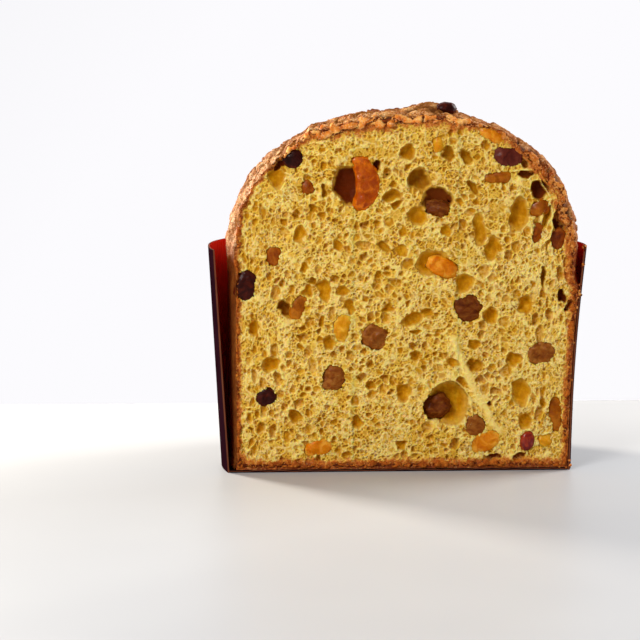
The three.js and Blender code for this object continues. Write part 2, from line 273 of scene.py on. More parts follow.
class Nodes:
    """A short way to write a material's node tree."""

    def __init__(self, name):
        self.material = bpy.data.materials.new(name)
        self.material.use_nodes = True
        self.tree = self.material.node_tree
        self.shader = self.tree.nodes["Principled BSDF"]

    def add(self, kind, settings=None, **inputs):
        node = self.tree.nodes.new("ShaderNode" + kind)
        for key, value in (settings or {}).items():
            setattr(node, key, value)
        for key, value in inputs.items():
            self.feed(node, key, value)
        return node

    def feed(self, node, key, value):
        socket = node.inputs[int(key[1:])] if key[0] == "_" else node.inputs[key.replace("_", " ")]
        if isinstance(value, bpy.types.NodeSocket):
            self.tree.links.new(value, socket)
        else:
            socket.default_value = value

    def mask(self, name, share=None):
        """A number that the mesh has at each point, or a share of it."""
        value = self.add("Attribute", {"attribute_name": name}).outputs["Fac"]
        return value if share is None else self.maths("MULTIPLY", value, share)

    def place(self):
        return self.add("TexCoord").outputs["Object"]

    def noise(self, size, detail=3.0, rough=0.55, vector=None, distort=0.0):
        """Noise in lumps of a size in millimetres."""
        node = self.add("TexNoise", Vector=vector or self.place(), Scale=1 / (size * MM), Detail=detail,
                        Roughness=rough, Distortion=distort)
        return node.outputs["Fac"]

    def ramp(self, value, *stops):
        """Colours at places from 0 to 1, each stop (place, colour as on screen)."""
        node = self.add("ValToRGB", Fac=value)
        set_stops(node.color_ramp, stops)
        return node.outputs["Color"]

    def range(self, value, low, high, to_low=0.0, to_high=1.0):
        """A value's way from low to high, eased, as a way from one number to another."""
        node = self.add("MapRange", {"interpolation_type": "SMOOTHSTEP"}, Value=value, From_Min=low,
                        From_Max=high, To_Min=to_low, To_Max=to_high)
        return node.outputs["Result"]

    def mix(self, factor, first, second):
        """Goes from the first to the second, each a socket or a colour as on screen."""
        first, second = (linear(*c) if isinstance(c, tuple) else c for c in (first, second))
        return self.add("Mix", {"data_type": "RGBA"}, _0=factor, _6=first, _7=second).outputs[2]

    def fleck(self, colour, tint, value, low, high, share=1.0):
        """Mixes a tint into a colour, up to a share, as a value goes from low to high."""
        return self.mix(self.range(value, low, high, 0.0, share), colour, tint)

    def maths(self, operation, *values):
        inputs = {f"_{i}": value for i, value in enumerate(values)}
        return self.add("Math", {"operation": operation}, **inputs).outputs[0]

    def bump(self, height, distance, strength=1.0, normal=None):
        """Fine relief of a depth in millimetres."""
        node = self.add("Bump", Height=height, Distance=distance * MM, Strength=strength)
        if normal is not None:
            self.tree.links.new(normal, node.inputs["Normal"])
        return node.outputs["Normal"]

    def finish(self, **inputs):
        for key, value in inputs.items():
            self.feed(self.shader, key, value)
        return self.material


def crumb_material():
    """Yellow crumb: pale dry membranes, gold cells, ochre in the large bubbles, brown at the crust, with
    painted highlights on its strands and painted shade deep in some hollows.
    """
    n = Nodes("crumb")
    mottle = n.noise(8, 4, 0.6)
    grain = n.noise(1.0, 4, 0.7)
    rim = n.ramp(mottle, (0.3, (228, 172, 46)), (0.7, (251, 214, 98)))
    inside = n.ramp(mottle, (0.3, (166, 103, 0)), (0.72, (196, 136, 4)))
    colour = n.mix(n.mask("within"), rim, inside)
    colour = n.fleck(colour, (180, 124, 12), grain, 0.54, 0.76, 0.5)
    colour = n.fleck(colour, (206, 150, 16), n.noise(16, 4, 0.65), 0.45, 0.7, 0.45)
    # Painted highlight: strands and raised folds are painted pale where light would catch them.
    colour = n.mix(n.mask("highlit_strand", 0.65), colour, (254, 236, 156))
    ochre = n.ramp(n.noise(3.2, 4, 0.6), (0.3, (178, 112, 2)), (0.5, (204, 140, 6)), (0.72, (232, 178, 40)))
    pale = n.ramp(mottle, (0.3, (220, 172, 60)), (0.7, (240, 202, 100)))
    ochre = n.mix(n.range(n.mask("bowl"), 0.0, 1.0, 0.5, 1.0), pale, ochre)
    colour = n.mix(n.mask("hollow", 0.85), colour, ochre)
    # Painted shade: the hollows given a dark share, and the pockets behind the fruit, are darkened.
    colour = n.fleck(colour, (104, 38, 6), n.mask("deep"), 0.08, 1.0)
    spread = n.maths("ADD", n.mask("crust"), n.range(n.noise(2.6, 5, 0.7), 0.3, 0.7, -0.2, 0.2))
    brown = n.ramp(spread, (0.40, (224, 162, 76)), (0.6, (200, 116, 36)), (0.8, (168, 82, 20)),
                   (0.98, (126, 52, 12)))
    brown = n.fleck(brown, (96, 36, 8), n.noise(3.5, 3, 0.6), 0.58, 0.7, 0.75)
    brown = n.fleck(brown, (236, 172, 96), n.noise(0.9, 4, 0.7), 0.52, 0.7, 0.6)
    colour = n.fleck(colour, brown, spread, 0.34, 0.58)
    relief = n.bump(n.noise(0.45, 3, 0.7), 0.2, 0.7)
    colour = n.mix(n.mask("lip", 0.6), colour, (252, 226, 128))
    rough = n.range(n.mask("hollow"), 0.2, 0.9, 0.62, 0.45)
    shine = n.range(n.mask("hollow"), 0.2, 0.9, 0.14, 0.04)
    return n.finish(Base_Color=colour, Roughness=rough, Normal=relief, Subsurface_Weight=0.6,
                    Subsurface_Radius=(1.0, 0.66, 0.1), Subsurface_Scale=0.0022,
                    Specular_IOR_Level=shine)


def crust_material():
    """Baked glaze: rough brown plates with dark cracks, lighter near the cut with painted light on the left
    and painted highlights on the plates' tips, and a smoother golden side below, painted darker for the
    shade inside the case.
    """
    n = Nodes("crust")
    plate = n.noise(7, 4, 0.6)
    fine = n.noise(1.1, 4, 0.7)
    top = n.ramp(plate, (0.25, (96, 42, 12)), (0.5, (136, 66, 24)), (0.78, (168, 96, 46)))
    # Lighter crust near the cut: partly fresh broken crust and partly painted light.
    fresh_and_lit = n.ramp(plate, (0.32, (170, 82, 24)), (0.5, (218, 136, 60)), (0.7, (250, 196, 122)))
    top = n.mix(n.mask("fresh_and_lit"), top, fresh_and_lit)
    # Painted highlights on the tops of the fine bump, paler near the cut.
    tip_highlights = n.mix(n.mask("fresh_and_lit"), (184, 116, 62), (255, 228, 184))
    top = n.fleck(top, tip_highlights, fine, 0.49, 0.68, 0.75)
    # Painted shade in the low places of the same fine bump.
    top = n.fleck(top, (92, 36, 8), fine, 0.5, 0.32, 0.75)
    # Painted light on the crust's left front, pale on the tops of the fine bump.
    left_highlight = n.ramp(fine, (0.38, (200, 134, 80)), (0.6, (252, 220, 178)))
    top = n.mix(n.mask("left_highlight", 0.45), top, left_highlight)
    bald = n.ramp(n.noise(5, 4, 0.6), (0.3, (124, 62, 14)), (0.7, (174, 112, 46)))
    colour = n.mix(n.mask("bald"), top, bald)
    colour = n.fleck(colour, (70, 24, 6), n.mask("groove"), 0.25, 0.95, 0.92)
    # The side's own smoother crust, painted darker for the shade inside the case, and paler on the fine
    # bump's raised grain.
    side = n.ramp(n.noise(9, 5, 0.7), (0.25, (80, 32, 8)), (0.5, (124, 62, 16)), (0.8, (172, 108, 42)))
    side = n.fleck(side, (196, 130, 58), fine, 0.5, 0.72, 0.5)
    colour = n.mix(n.mask("side"), colour, side)
    relief = n.bump(n.noise(0.5, 3, 0.7), 0.3, 0.8)
    relief = n.bump(fine, 0.6, 0.9, relief)
    return n.finish(Base_Color=colour, Roughness=0.75, Normal=relief, Specular_IOR_Level=0.08,
                    Subsurface_Weight=0.08, Subsurface_Radius=(1.0, 0.5, 0.15), Subsurface_Scale=0.001)


def rim_material():
    """Cut crust and glaze: granular, orange-brown, with pale flecks painted as highlights and painted shade
    in its pits.
    """
    n = Nodes("crust_rim")
    grain = n.noise(0.9, 4, 0.7)
    patch = n.noise(5, 4, 0.6)
    tone = n.ramp(patch, (0.36, (190, 86, 20)), (0.5, (234, 136, 46)), (0.68, (255, 192, 102)))
    # Painted highlights: pale flecks in the grain.
    tone = n.fleck(tone, (255, 222, 164), grain, 0.5, 0.7, 0.7)
    # Darker crust inside the case and towards both sides; inside the case this is painted shade.
    baked = n.ramp(patch, (0.3, (112, 42, 8)), (0.5, (166, 80, 18)), (0.72, (212, 124, 38)))
    # Painted highlights on the darker crust as well.
    baked = n.fleck(baked, (234, 154, 66), grain, 0.5, 0.72, 0.6)
    colour = n.mix(n.mask("baked"), tone, baked)
    # Painted shade in the rim's low places: the pit mask follows its relief.
    spread = n.maths("ADD", n.mask("pit"), n.range(grain, 0.3, 0.7, 0.2, -0.2))
    colour = n.fleck(colour, (86, 30, 6), spread, 0.45, 0.95)
    relief = n.bump(n.noise(0.4, 3, 0.7), 0.25, 0.8)
    return n.finish(Base_Color=colour, Roughness=0.75, Normal=relief, Specular_IOR_Level=0.08,
                    Subsurface_Weight=0.2, Subsurface_Radius=(1.0, 0.5, 0.12), Subsurface_Scale=0.001)


def paper_material(name, low, high, rough, shine):
    """Coated baking paper with faint upright flutes and fibres."""
    n = Nodes(name)
    stretch = n.add("Mapping", Vector=n.place(), Scale=(1.0, 1.0, 0.12)).outputs["Vector"]
    streak = n.maths("MULTIPLY_ADD", n.noise(2.4, 3, 0.6, vector=stretch), 0.6, 0.5)
    colour = n.ramp(streak, (0.35, low), (0.8, high))
    colour = n.fleck(colour, low, n.noise(22, 3, 0.5), 0.4, 0.7, 0.5)
    relief = n.bump(n.noise(0.5, 3, 0.6, vector=stretch), 0.05)
    return n.finish(Base_Color=colour, Roughness=rough, Normal=relief, Specular_IOR_Level=shine)


def fruit_material(name, dark, middle, light, rough, gloss, see_through):
    """A piece of fruit: mottled, wet where cut, with light passing a little way in, and painted light that
    makes it lighter towards its outline.
    """
    n = Nodes(name)
    streaks = "chestnut" in name
    # How strongly light is painted on at the edge, more on the peel.
    edge = 0.7 if name == "peel" else 0.5
    where = n.place()
    if streaks:
        where = n.add("Mapping", Vector=where, Scale=(0.65, 1.0, 1.15), Rotation=(0.5, 0.9, 0.4))
        where = where.outputs["Vector"]
    tone = n.noise(2.6 if streaks else 4.5, 4, 0.6, vector=where, distort=0.6)
    colour = n.ramp(tone, (0.3, dark), (0.5, middle), (0.72, light))
    # Painted light: each piece is made lighter towards its outline.
    edge_light = n.maths("ADD", n.mask("outer"), n.range(n.noise(2.4, 2), 0.3, 0.7, -0.18, 0.18))
    colour = n.fleck(colour, light, edge_light, 0.72, 1.0, edge)
    relief = n.bump(n.noise(0.7, 3, 0.6, vector=where), 0.14, 0.7)
    spots = n.range(n.noise(1.3, 2), 0.35, 0.65, rough - 0.1, rough + 0.14)
    return n.finish(Base_Color=colour, Roughness=spots, Normal=relief, Specular_IOR_Level=0.08,
                    Coat_Weight=gloss, Coat_Roughness=0.1, Subsurface_Weight=see_through,
                    Subsurface_Radius=(1.0, 0.4, 0.1), Subsurface_Scale=0.003)


CRUMB = crumb_material()
CRUST = crust_material()
RIM = rim_material()
PAPER_OUT = paper_material("paper_outside", (16, 3, 8), (32, 11, 19), 0.9, 0.0)
PAPER_IN = paper_material("paper_inside", (228, 8, 2), (250, 48, 16), 0.6, 0.08)
PAPER_EDGE = paper_material("paper_edge", (72, 32, 22), (118, 66, 42), 0.8, 0.05)
# Each look of fruit: dark, middle and light colour, roughness, gloss, how much light passes in
FRUIT_COLOURS = {
    "raisin": ((30, 4, 1), (52, 9, 3), (92, 28, 8), 0.4, 0.06, 0.2),
    "purple_raisin": ((66, 18, 12), (90, 30, 18), (116, 50, 32), 0.4, 0.06, 0.2),
    "brown_raisin": ((86, 28, 2), (124, 52, 6), (158, 82, 20), 0.35, 0.1, 0.3),
    "sultana": ((120, 50, 2), (150, 72, 6), (178, 100, 20), 0.36, 0.06, 0.5),
    "cherry": ((84, 4, 0), (124, 16, 2), (176, 60, 12), 0.14, 0.6, 0.4),
    "peel": ((146, 50, 0), (178, 76, 0), (226, 124, 10), 0.3, 0.12, 0.7),
    "brown_peel": ((130, 60, 0), (160, 84, 4), (196, 120, 22), 0.34, 0.06, 0.6),
    "amber": ((190, 92, 0), (220, 130, 6), (244, 180, 60), 0.3, 0.1, 0.7),
    "gold": ((196, 124, 0), (218, 146, 10), (242, 186, 60), 0.32, 0.08, 0.7),
    "chestnut": ((112, 50, 6), (140, 74, 16), (168, 106, 40), 0.5, 0.03, 0.2),
    "dark_chestnut": ((76, 24, 0), (108, 48, 4), (140, 80, 24), 0.5, 0.03, 0.2),
}
FRUIT_LOOKS = {name: fruit_material(name, *look) for name, look in FRUIT_COLOURS.items()}


# The loaf's crust

CASE_GAP = 0.35  # between the crust and the case's wall
IN_CASE = 92  # below this height the case hides the crust, and its points are wider apart


def dome(angle):
    """The dome's radius and height at an angle up from its shoulder."""
    radius = SHOULDER_RADIUS * np.cos(angle) ** (2 / DOME_POWER)
    return radius, SHOULDER_Z + (BREAD_HEIGHT - SHOULDER_Z) * np.sin(angle) ** (2 / DOME_POWER)


def loaf_profile():
    """Radius and height down the loaf's side, a crust step apart on top and wider below."""
    radius, z = dome(np.linspace(math.pi / 2, 0, 4000))
    low = np.linspace(SHOULDER_Z, FLOOR_Z, 1200)[1:]
    down = (SHOULDER_Z - low) / (SHOULDER_Z - SPARE_Z)
    side = SHOULDER_RADIUS + (BREAD_BASE_RADIUS - SHOULDER_RADIUS) * down ** SIDE_POWER
    radius = np.concatenate([radius, side])
    z = np.concatenate([z, low])
    length = distance_along(radius, z)
    at = [0.0]
    while at[-1] < length[-1]:
        below = max(0.0, IN_CASE - np.interp(at[-1], length, z))
        at.append(at[-1] + CRUST_STEP * (1 + 0.05 * min(below, 60)))
    at[-1] = length[-1]
    return np.interp(at, length, radius), np.interp(at, length, z)


def axis_x(z):
    return BREAD_SHIFT_X + BREAD_LEAN_X * z / BREAD_HEIGHT


SWELLINGS = [  # broad swellings of the top: x, y, reach, rise
    (-66, 4, 6, 1.3),
    (-49, 2, 5, -1.2),
    (-44, -20, 8, 0.9),
    (-41, -20, 4, 1.6),
    (-39, 2, 6, 1.7),
    (-27, 2, 6, -1.5),
    (-11, 4, 8, -1.2),
    (17, -5, 11, 4.0),
    (53, -18, 9, 1.2),
    (-10, 40, 22, 1.2),
    (44, 48, 18, 1.8),
    (-54, 36, 16, 1.6),
]
PLATES = 380
PLATE_LOW = 0.7  # the share of a half turn, from the top of a ball, that the seeds' spiral covers
PLATE_JITTER = 9
GROOVE_WIDTH = 2.7
GROOVE_DEPTH = 2.1
PLATE_STEP = 1.4
CHIPS = 1500  # smaller cracks divide the plates into about this many chips
CHIP_JITTER = 3
CHIP_DEPTH = 0.9
CHIP_STEP = 0.5
GLAZE_STARTS = (103, 117)  # heights between which the glaze begins
SEAM = -28  # degrees, in the part cut away: where the crust's rings of points start and end
NEAR_CUT = (12, 168, 208)  # degrees: the cut's ends are before the first and between the others
CUT_AWAY_STEP = 6  # in the part cut away
TIP_RISE = 0.9
MERGE = 0.02  # points closer than this are made one
MIDDLE_Z = 70  # the height of the face's middle, which its outline goes round
BOTTOM_POINTS = 600
SHELL_INWARD = 1.2  # how the crust's open edge is drawn in before the shell is closed
SHELL_BACK = 14
SHELL_UP = 2
SHELL_LOW = 2  # this near to the floor the edge isn't drawn back
SHELL_TIP = (20, 60)  # the depth and height of the point where the shell is closed


def dome_seeds(count, jitter, key):
    """Points spread evenly over the dome by a golden spiral, each moved a little."""
    seeds = []
    for i in range(count):
        polar = 1 - (1 - math.cos(PLATE_LOW * math.pi)) * ((i + 0.5) / count)
        angle = (1 - math.acos(polar) / math.pi / PLATE_LOW) * math.pi / 2
        radius, z = dome(angle)
        turn = i * math.pi * (3 - math.sqrt(5))
        seed = np.array([radius * math.cos(turn) + axis_x(z), radius * math.sin(turn), z])
        seeds.append(seed + jitter * (draws(3 * i + key, 3) - 0.5))
    return seeds


def nearest_two(points, seeds):
    """For each point its nearest seed, and how much nearer that is than the next one."""
    tree = tree_of(seeds)
    own = np.zeros(len(points), int)
    lead = np.zeros(len(points))
    for k, p in enumerate(points):
        first, second = tree.find_n(p, 2)
        own[k] = first[1]
        lead[k] = second[2] - first[2]
    return own, lead


def glaze(top):
    """Cracks, finer cracks, how high each plate and chip stands, and where the glaze is bald."""
    ragged = join(*(fbm(top, 5.5, 3, 100 + 9 * k) for k in range(3)))
    own, lead = nearest_two(top + 4.2 * ragged, dome_seeds(PLATES, PLATE_JITTER, 0))
    width = GROOVE_WIDTH * (0.45 + 0.8 * clamp01(0.5 + noise(top, 17, 41)))
    groove = fade(0.15 * width, width, lead)
    tall = PLATE_STEP * (draws(0.5, PLATES)[own] - 0.5)
    bald = smooth(0.28, 0.5, fbm(top, 34, 2, 77) + 0.35 * (lead < width))
    own, lead = nearest_two(top + 2.4 * ragged, dome_seeds(CHIPS, CHIP_JITTER, 0.25))
    chip_groove = fade(0.1, 1.5, lead) * smooth(-0.25, 0.2, noise(top, 13, 53))
    tall += CHIP_STEP * (draws(0.7, CHIPS)[own] - 0.5)
    return groove, chip_groove, tall, bald


def crust_relief(p):
    """How far the crust stands out from the smooth loaf, and the masks that colour it."""
    x, y, z = p.T
    glazed = smooth(*GLAZE_STARTS, z)
    on_top = glazed > 0
    layers = np.zeros((4, len(p)))
    layers[:, on_top] = glaze(p[on_top])
    groove, chip_groove, tall, bald = layers

    front = fade(-6, 14, y)
    left, right = smooth(40, 70, -x) * front, smooth(40, 70, x) * front
    broad = -1.9 * right * between(104, 112, 128, 137, z)
    for at_x, at_y, reach, rise in SWELLINGS:
        broad += rise * np.exp(-((x - at_x) ** 2 + (y - at_y) ** 2) / reach ** 2)

    crumbly = 0.6 * fbm(p, 2.8, 3, 61) + 0.25 * noise(p, 1.3, 67)
    plate = (tall + crumbly) * (1 - groove) * (1 - 0.6 * bald)
    block = between(-46, -42, 28, 40, x) * fade(-14, 0, y)
    lumps = 2.2 * np.abs(fbm(p, 6, 3, 81)) + 0.7 * fbm(p, 2.4, 2, 83) - 0.3
    plate += block * lumps * (1 - 0.7 * bald)
    cracks = GROOVE_DEPTH * groove * (1 - 0.5 * bald)
    cracks += CHIP_DEPTH * chip_groove * (1 - groove) * (1 - bald)

    waist = fade(94, 104, z)
    side = -0.35 * (1 + fbm(p, 30, 3, 71)) + 0.16 * fbm(p, 4, 3, 73)
    side += waist * (1.1 * right * between(4, 12, 84, 93, z) - 1.2 * left)
    side -= 1.2 * right * smooth(88, 95, z)
    relief = side * (1 - glazed) + glazed * (broad + 0.8 * fbm(p, 30, 2, 79) + plate - cracks)

    rough_rim = (left + right) * between(88, 96, 128, 140, z)
    relief += rough_rim * (1.3 * np.abs(fbm(p, 4, 3, 85)) + 0.35 * noise(p, 1.5, 87) - 0.4)
    shards = 0.4 - 1.4 * np.abs(fbm(p, 2.2, 2, 93))
    near_cut = front * (1 - 0.6 * smooth(20, 50, x)) * glazed
    relief += near_cut * (0.4 * fbm(p, 1.8, 2, 89) + 0.7 * np.abs(fbm(p, 3.6, 2, 91)) + 0.6 * shards)

    # Where light is painted on the crust's left front; the cracks there are painted less dark.
    left_highlight = smooth(38, 62, -x) * fade(-16, 12, y)
    dark = np.maximum(groove * (1 - 0.35 * bald), 0.8 * chip_groove * (1 - bald))
    masks = {
        "groove": glazed * dark * (1 - 0.45 * left_highlight),
        "bald": bald * glazed,
        "side": 1 - glazed,
        "left_highlight": left_highlight,
        # Near the cut: partly fresh broken crust and partly painted light, less of it towards the right.
        "fresh_and_lit": fade(-18, 12, y) * (1 - 0.55 * smooth(15, 50, x)),
    }
    return relief, masks


def keep_in_case(points):
    """Draws in whatever of the crust would stand through the case's wall."""
    angle = np.arctan2(points[:, 1], points[:, 0])
    limit = wall_reach(angle, points[:, 2]) - PAPER - CASE_GAP
    reach = np.hypot(points[:, 0], points[:, 1])
    through = (points[:, 2] < CASE_HEIGHT) & (reach > limit)
    points[through, :2] *= (limit / reach)[through, None]


def crust_turns():
    """The angles round the loaf where the crust has points: closer together near the cut."""
    turns = [math.radians(SEAM)]
    end = turns[0] + 2 * math.pi
    right_end, left_start, left_end = NEAR_CUT
    while turns[-1] < end:
        degrees = math.degrees(turns[-1])
        near_cut = degrees < right_end or left_start < degrees < left_end
        step = FINE_STEP if near_cut else BACK_STEP if degrees < left_end else CUT_AWAY_STEP
        turns.append(turns[-1] + step / SHOULDER_RADIUS)
    return np.array(turns[:-1])


def ring_points(radius, z, turn):
    """Points at every turn round the Z axis for each radius and height."""
    radius, z = radius[:, None], z[:, None]
    return join(radius * np.cos(turn), radius * np.sin(turn), z).reshape(-1, 3)


def crust_piece():
    """The loaf's outside, cut off flat in front. Returns it and the cut's outline."""
    radius, z = loaf_profile()
    turn = crust_turns()
    around = len(turn)
    slope_r, slope_z = np.gradient(radius), np.gradient(z)
    size = np.hypot(slope_r, slope_z)
    out_r, out_z = -slope_z / size, slope_r / size
    smooth_loaf = ring_points(radius, z, turn) + np.repeat(axis_x(z), around)[:, None] * [1, 0, 0]
    outward = ring_points(out_r, out_z, turn)
    relief, masks = crust_relief(smooth_loaf)
    relief *= np.repeat(smooth(0, 3, radius) * smooth(FLOOR_Z, FLOOR_Z + 3, z), around)
    relief += np.repeat(TIP_RISE * fade(0, 3, radius), around)
    points = smooth_loaf + outward * relief[:, None]
    keep_in_case(points)
    keep = grid_faces(len(radius), around, closed=True)[:, ::-1]
    near = points[keep][:, :, 1].max(1) > CUT_Y
    piece = make_mesh("crust", points, keep[near], [CRUST], masks)
    mesh = bmesh.new()
    mesh.from_mesh(piece.data)
    bmesh.ops.remove_doubles(mesh, verts=mesh.verts, dist=MERGE * MM)
    everything = mesh.verts[:] + mesh.edges[:] + mesh.faces[:]
    bmesh.ops.bisect_plane(mesh, geom=everything, dist=1e-7, plane_co=(0, CUT_Y * MM, 0),
                           plane_no=(0, -1, 0), clear_outer=True)
    outline = front_loop(mesh)
    close_behind(mesh, (axis_x(SHELL_TIP[1]), *SHELL_TIP))
    mesh.to_mesh(piece.data)
    mesh.free()
    return piece, outline


def front_loop(mesh):
    """The open edge that lies in the cut, as (x, z) points going round the face."""
    rim = [v for v in mesh.verts if v.is_boundary and abs(v.co.y / MM - CUT_Y) < 0.01]
    flat = np.array([(v.co.x / MM, v.co.z / MM) for v in rim])
    flat = flat[flat[:, 1] > FLOOR_Z + 0.01]
    side = flat[:, 0] > axis_x(MIDDLE_Z)
    corners = [flat[side == k][flat[side == k][:, 1].argmin()] for k in (False, True)]
    across = np.linspace(corners[0][0], corners[1][0], BOTTOM_POINTS)
    flat = np.vstack([flat, join(across, FLOOR_Z)])
    angle, _ = round_middle(*flat.T)
    return flat[np.argsort(angle)]


def round_middle(x, z):
    """The angle of points round the face's middle, and how far they are from it."""
    x, z = x - axis_x(MIDDLE_Z), z - MIDDLE_Z
    return np.arctan2(z, x), np.hypot(x, z)


def close_behind(mesh, centre):
    """Closes a shell: its open edge is drawn back a little way inside and then to a point."""
    edges = [e for e in mesh.edges if e.is_boundary]
    made = bmesh.ops.extrude_edge_only(mesh, edges=edges)["geom"]
    moved = [v for v in made if isinstance(v, bmesh.types.BMVert)]
    middle = Vector(centre) * MM
    for v in moved:
        inward = middle - v.co
        v.co += inward.normalized() * SHELL_INWARD * MM
        if v.co.z > (FLOOR_Z + SHELL_LOW) * MM:
            v.co.y += SHELL_BACK * MM
        v.co.z += SHELL_UP * MM
    rim = [e for e in mesh.edges if e.is_boundary]
    tip = mesh.verts.new(middle)
    for e in rim:
        mesh.faces.new((e.verts[0], e.verts[1], tip))
    bmesh.ops.recalc_face_normals(mesh, faces=mesh.faces)


# The crumb

# Hollows that show in the cut: x, z, width, height, depth, lean in degrees, how much shade is painted
# within them
HOLLOWS = [
    (23.8, 33.0, 20, 22, 9, 0, 0.05),
    (15.5, 100.8, 18, 13, 4, -12, 0.1),
    (-23.0, 137.6, 19, 20, 7, -14, 1.0),
    (-11.8, 146.8, 4, 9, 5, 22, 0.9),
    (9.2, 140.4, 11.5, 12, 7, 0, 0.55),
    (17.2, 131.2, 15.5, 13, 5, 0, 0.9),
    (8.4, 123.4, 9.6, 10.2, 4.5, 0, 0.1),
    (3.1, 153.4, 7.6, 7.6, 4, 0, 0.3),
    (56.8, 123.2, 8.6, 17.3, 5, 5, 0.25),
    (66.6, 135.8, 8.6, 10, 7, 10, 0.95),
    (77.0, 120.5, 7, 19, 6, -4, 0.95),
    (70.0, 122.5, 4.5, 12, 4, 16, 0.3),
    (-59.0, 141.8, 8.5, 11, 3, -25, 0.25),
    (-57.6, 148.6, 9, 5.5, 4, -38, 1.0),
    (43.9, 107.0, 6.6, 13.5, 3.5, 12, 0.15),
    (38.0, 116.5, 6.5, 18, 3, -4, 0.25),
    (31.0, 91.2, 10.4, 10.4, 4, 0, 0.1),
    (44.2, 75.0, 8.6, 9, 4.5, 0, 0.15),
    (60.6, 80.6, 7.6, 9.6, 4, 18, 0.15),
    (6.5, 73.8, 12, 6, 4, -18, 0.25),
    (35.2, 50.6, 11.5, 6, 4, -16, 0.35),
    (58.7, 38.0, 9.6, 13.8, 4, 6, 0.0),
    (2.2, 38.5, 6.6, 10, 3.5, -12, 0.15),
    (-36.2, 88.3, 6.8, 11, 3.5, -10, 0.1),
    (-54.6, 79.0, 6.5, 10, 5, -30, 0.7),
    (-62.0, 52.0, 9, 8, 4, 12, 0.2),
    (-41.9, 126.6, 3.8, 4.8, 2.5, 0, 0.4),
    (-36.4, 134.3, 2.9, 6.7, 3, -12, 0.5),
    (-1.7, 128.5, 6.2, 4.4, 2.5, -30, 0.3),
    (-3.8, 133.6, 9.8, 6.0, 3.5, -16, 0.35),
    (1.7, 115.9, 4.6, 5.2, 2.5, 0, 0.2),
    (0.8, 106.5, 6.6, 6.0, 2.0, 0, 0.1),
    (22.5, 152.2, 6.2, 8.1, 4, -10, 0.5),
    (31.4, 151.3, 5.0, 9.1, 4, -38, 0.45),
    (59.7, 143.0, 8.2, 4.2, 3.5, -8, 0.85),
    (59.5, 149.0, 5.0, 5.0, 3, 30, 0.8),
    (21.6, 115.9, 5.3, 6.2, 2.5, 0, 0.2),
    (68.8, 93.7, 2.4, 11.5, 3.5, -6, 0.6),
    (35.2, 136.7, 3.6, 8.4, 3.5, -40, 0.45),
    (8.4, 68.0, 5.8, 2.4, 2, 0, 0.2),
    (7.4, 56.4, 5.6, 5.6, 3.5, 0, 0.3),
    (35.7, 61.7, 6.2, 5.3, 2.5, 10, 0.2),
    (54.9, 54.0, 8.1, 6.7, 3.5, -20, 0.2),
    (29.7, 42.8, 6.2, 5.4, 3.5, 20, 0.2),
    (60.6, 24.0, 6.2, 8.6, 4, -12, 0.2),
    (69.0, 33.0, 3.6, 4.4, 3, 0, 0.2),
    (44.8, 6.6, 9.0, 3.2, 3, 0, 0.9),
    (57.8, 6.8, 6.6, 3.8, 3, -20, 0.8),
    (-5.5, 79.1, 5.8, 5.3, 3, 0, 0.2),
    (12.9, 76.7, 6.2, 3.8, 2.5, -10, 0.2),
    (77.6, 84.0, 4.0, 8.0, 5, -20, 1.0),
    (80.8, 80.0, 3.6, 7.0, 5, 30, 1.0),
    (-43.9, 87.4, 5.8, 5.8, 3, 0, 0.2),
    (-41.9, 92.2, 4.3, 4.3, 3, 0, 0.4),
    (-45.3, 99.5, 3.8, 4.8, 2.5, 0, 0.2),
    (-29.5, 109.1, 4.8, 6.2, 2.5, -15, 0.2),
    (-26.6, 87.9, 6.7, 5.3, 2.5, 0, 0.2),
    (-10.3, 94.6, 4.3, 4.8, 2.5, 0, 0.2),
    (-37.6, 72.8, 2.9, 6.7, 2.5, 10, 0.2),
    (-33.8, 62.2, 6.7, 6.7, 3.5, 0, 0.2),
    (-23.7, 80.1, 4.8, 8.1, 2.5, -10, 0.2),
    (1.2, 12.8, 6.2, 5.3, 2.5, 0, 0.3),
    (-48.2, 114.5, 5.8, 9.1, 2.5, 8, 0.1),
    (-8.5, 108.5, 7.5, 4.8, 2.5, 35, 0.4),
    (-50.0, 27.0, 7.0, 5.6, 4, 16, 0.3),
    (-20.0, 24.0, 5.4, 7.4, 4, -10, 0.2),
    (-70.0, 70.0, 4.6, 8.0, 4, 6, 0.2),
    (-14.0, 42.0, 6.0, 4.8, 3, 0, 0.3),
    (42.6, 32.3, 5.6, 3.2, 2, -10, 0.9),
    (25.6, 52.6, 7.5, 4.0, 2.5, 10, 0.2),
    (47.6, 108.0, 3.4, 4.4, 2.5, 0, 0.2),
]
# Membranes and folds that stand out of the cut: half width, rise, then the line's points (x, z)
FOLDS = [
    (0.45, 1.1, (58.1, 153.2), (60.6, 150.3), (64.2, 146.9), (67.4, 141.3), (73.8, 133.8),
     (74.8, 127.5), (72.6, 121.9)),
    (0.4, 1.0, (52.5, 144.8), (62.1, 145.4), (64.2, 143.5), (66.9, 139.9), (71.0, 133.0)),
    (0.4, 1.0, (71.0, 130.2), (72.4, 126.1), (73.4, 119.8), (71.0, 112.2), (68.3, 110.1)),
    (0.35, 0.8, (65.6, 120.6), (69.7, 126.1), (71.0, 129.0)),
    (0.4, 0.9, (75.2, 130.2), (77.2, 123.3), (80.6, 119.2), (82.0, 114.3), (80.6, 108.8)),
    (2.2, 0.95, (26.1, 64.0), (27.8, 57.5), (31.0, 50.5), (36.0, 40.5), (42.0, 29.0), (48.2, 18.2)),
    (1.6, 0.4, (28.3, 63.2), (29.1, 55.0), (27.4, 50.8)),
    (0.6, 0.7, (24.0, 45.8), (29.5, 42.4), (34.3, 35.5), (35.2, 27.0), (33.2, 20.5)),
    (1.7, 0.5, (14.0, 45.0), (12.2, 36.0), (13.2, 27.0), (17.0, 20.0)),
]
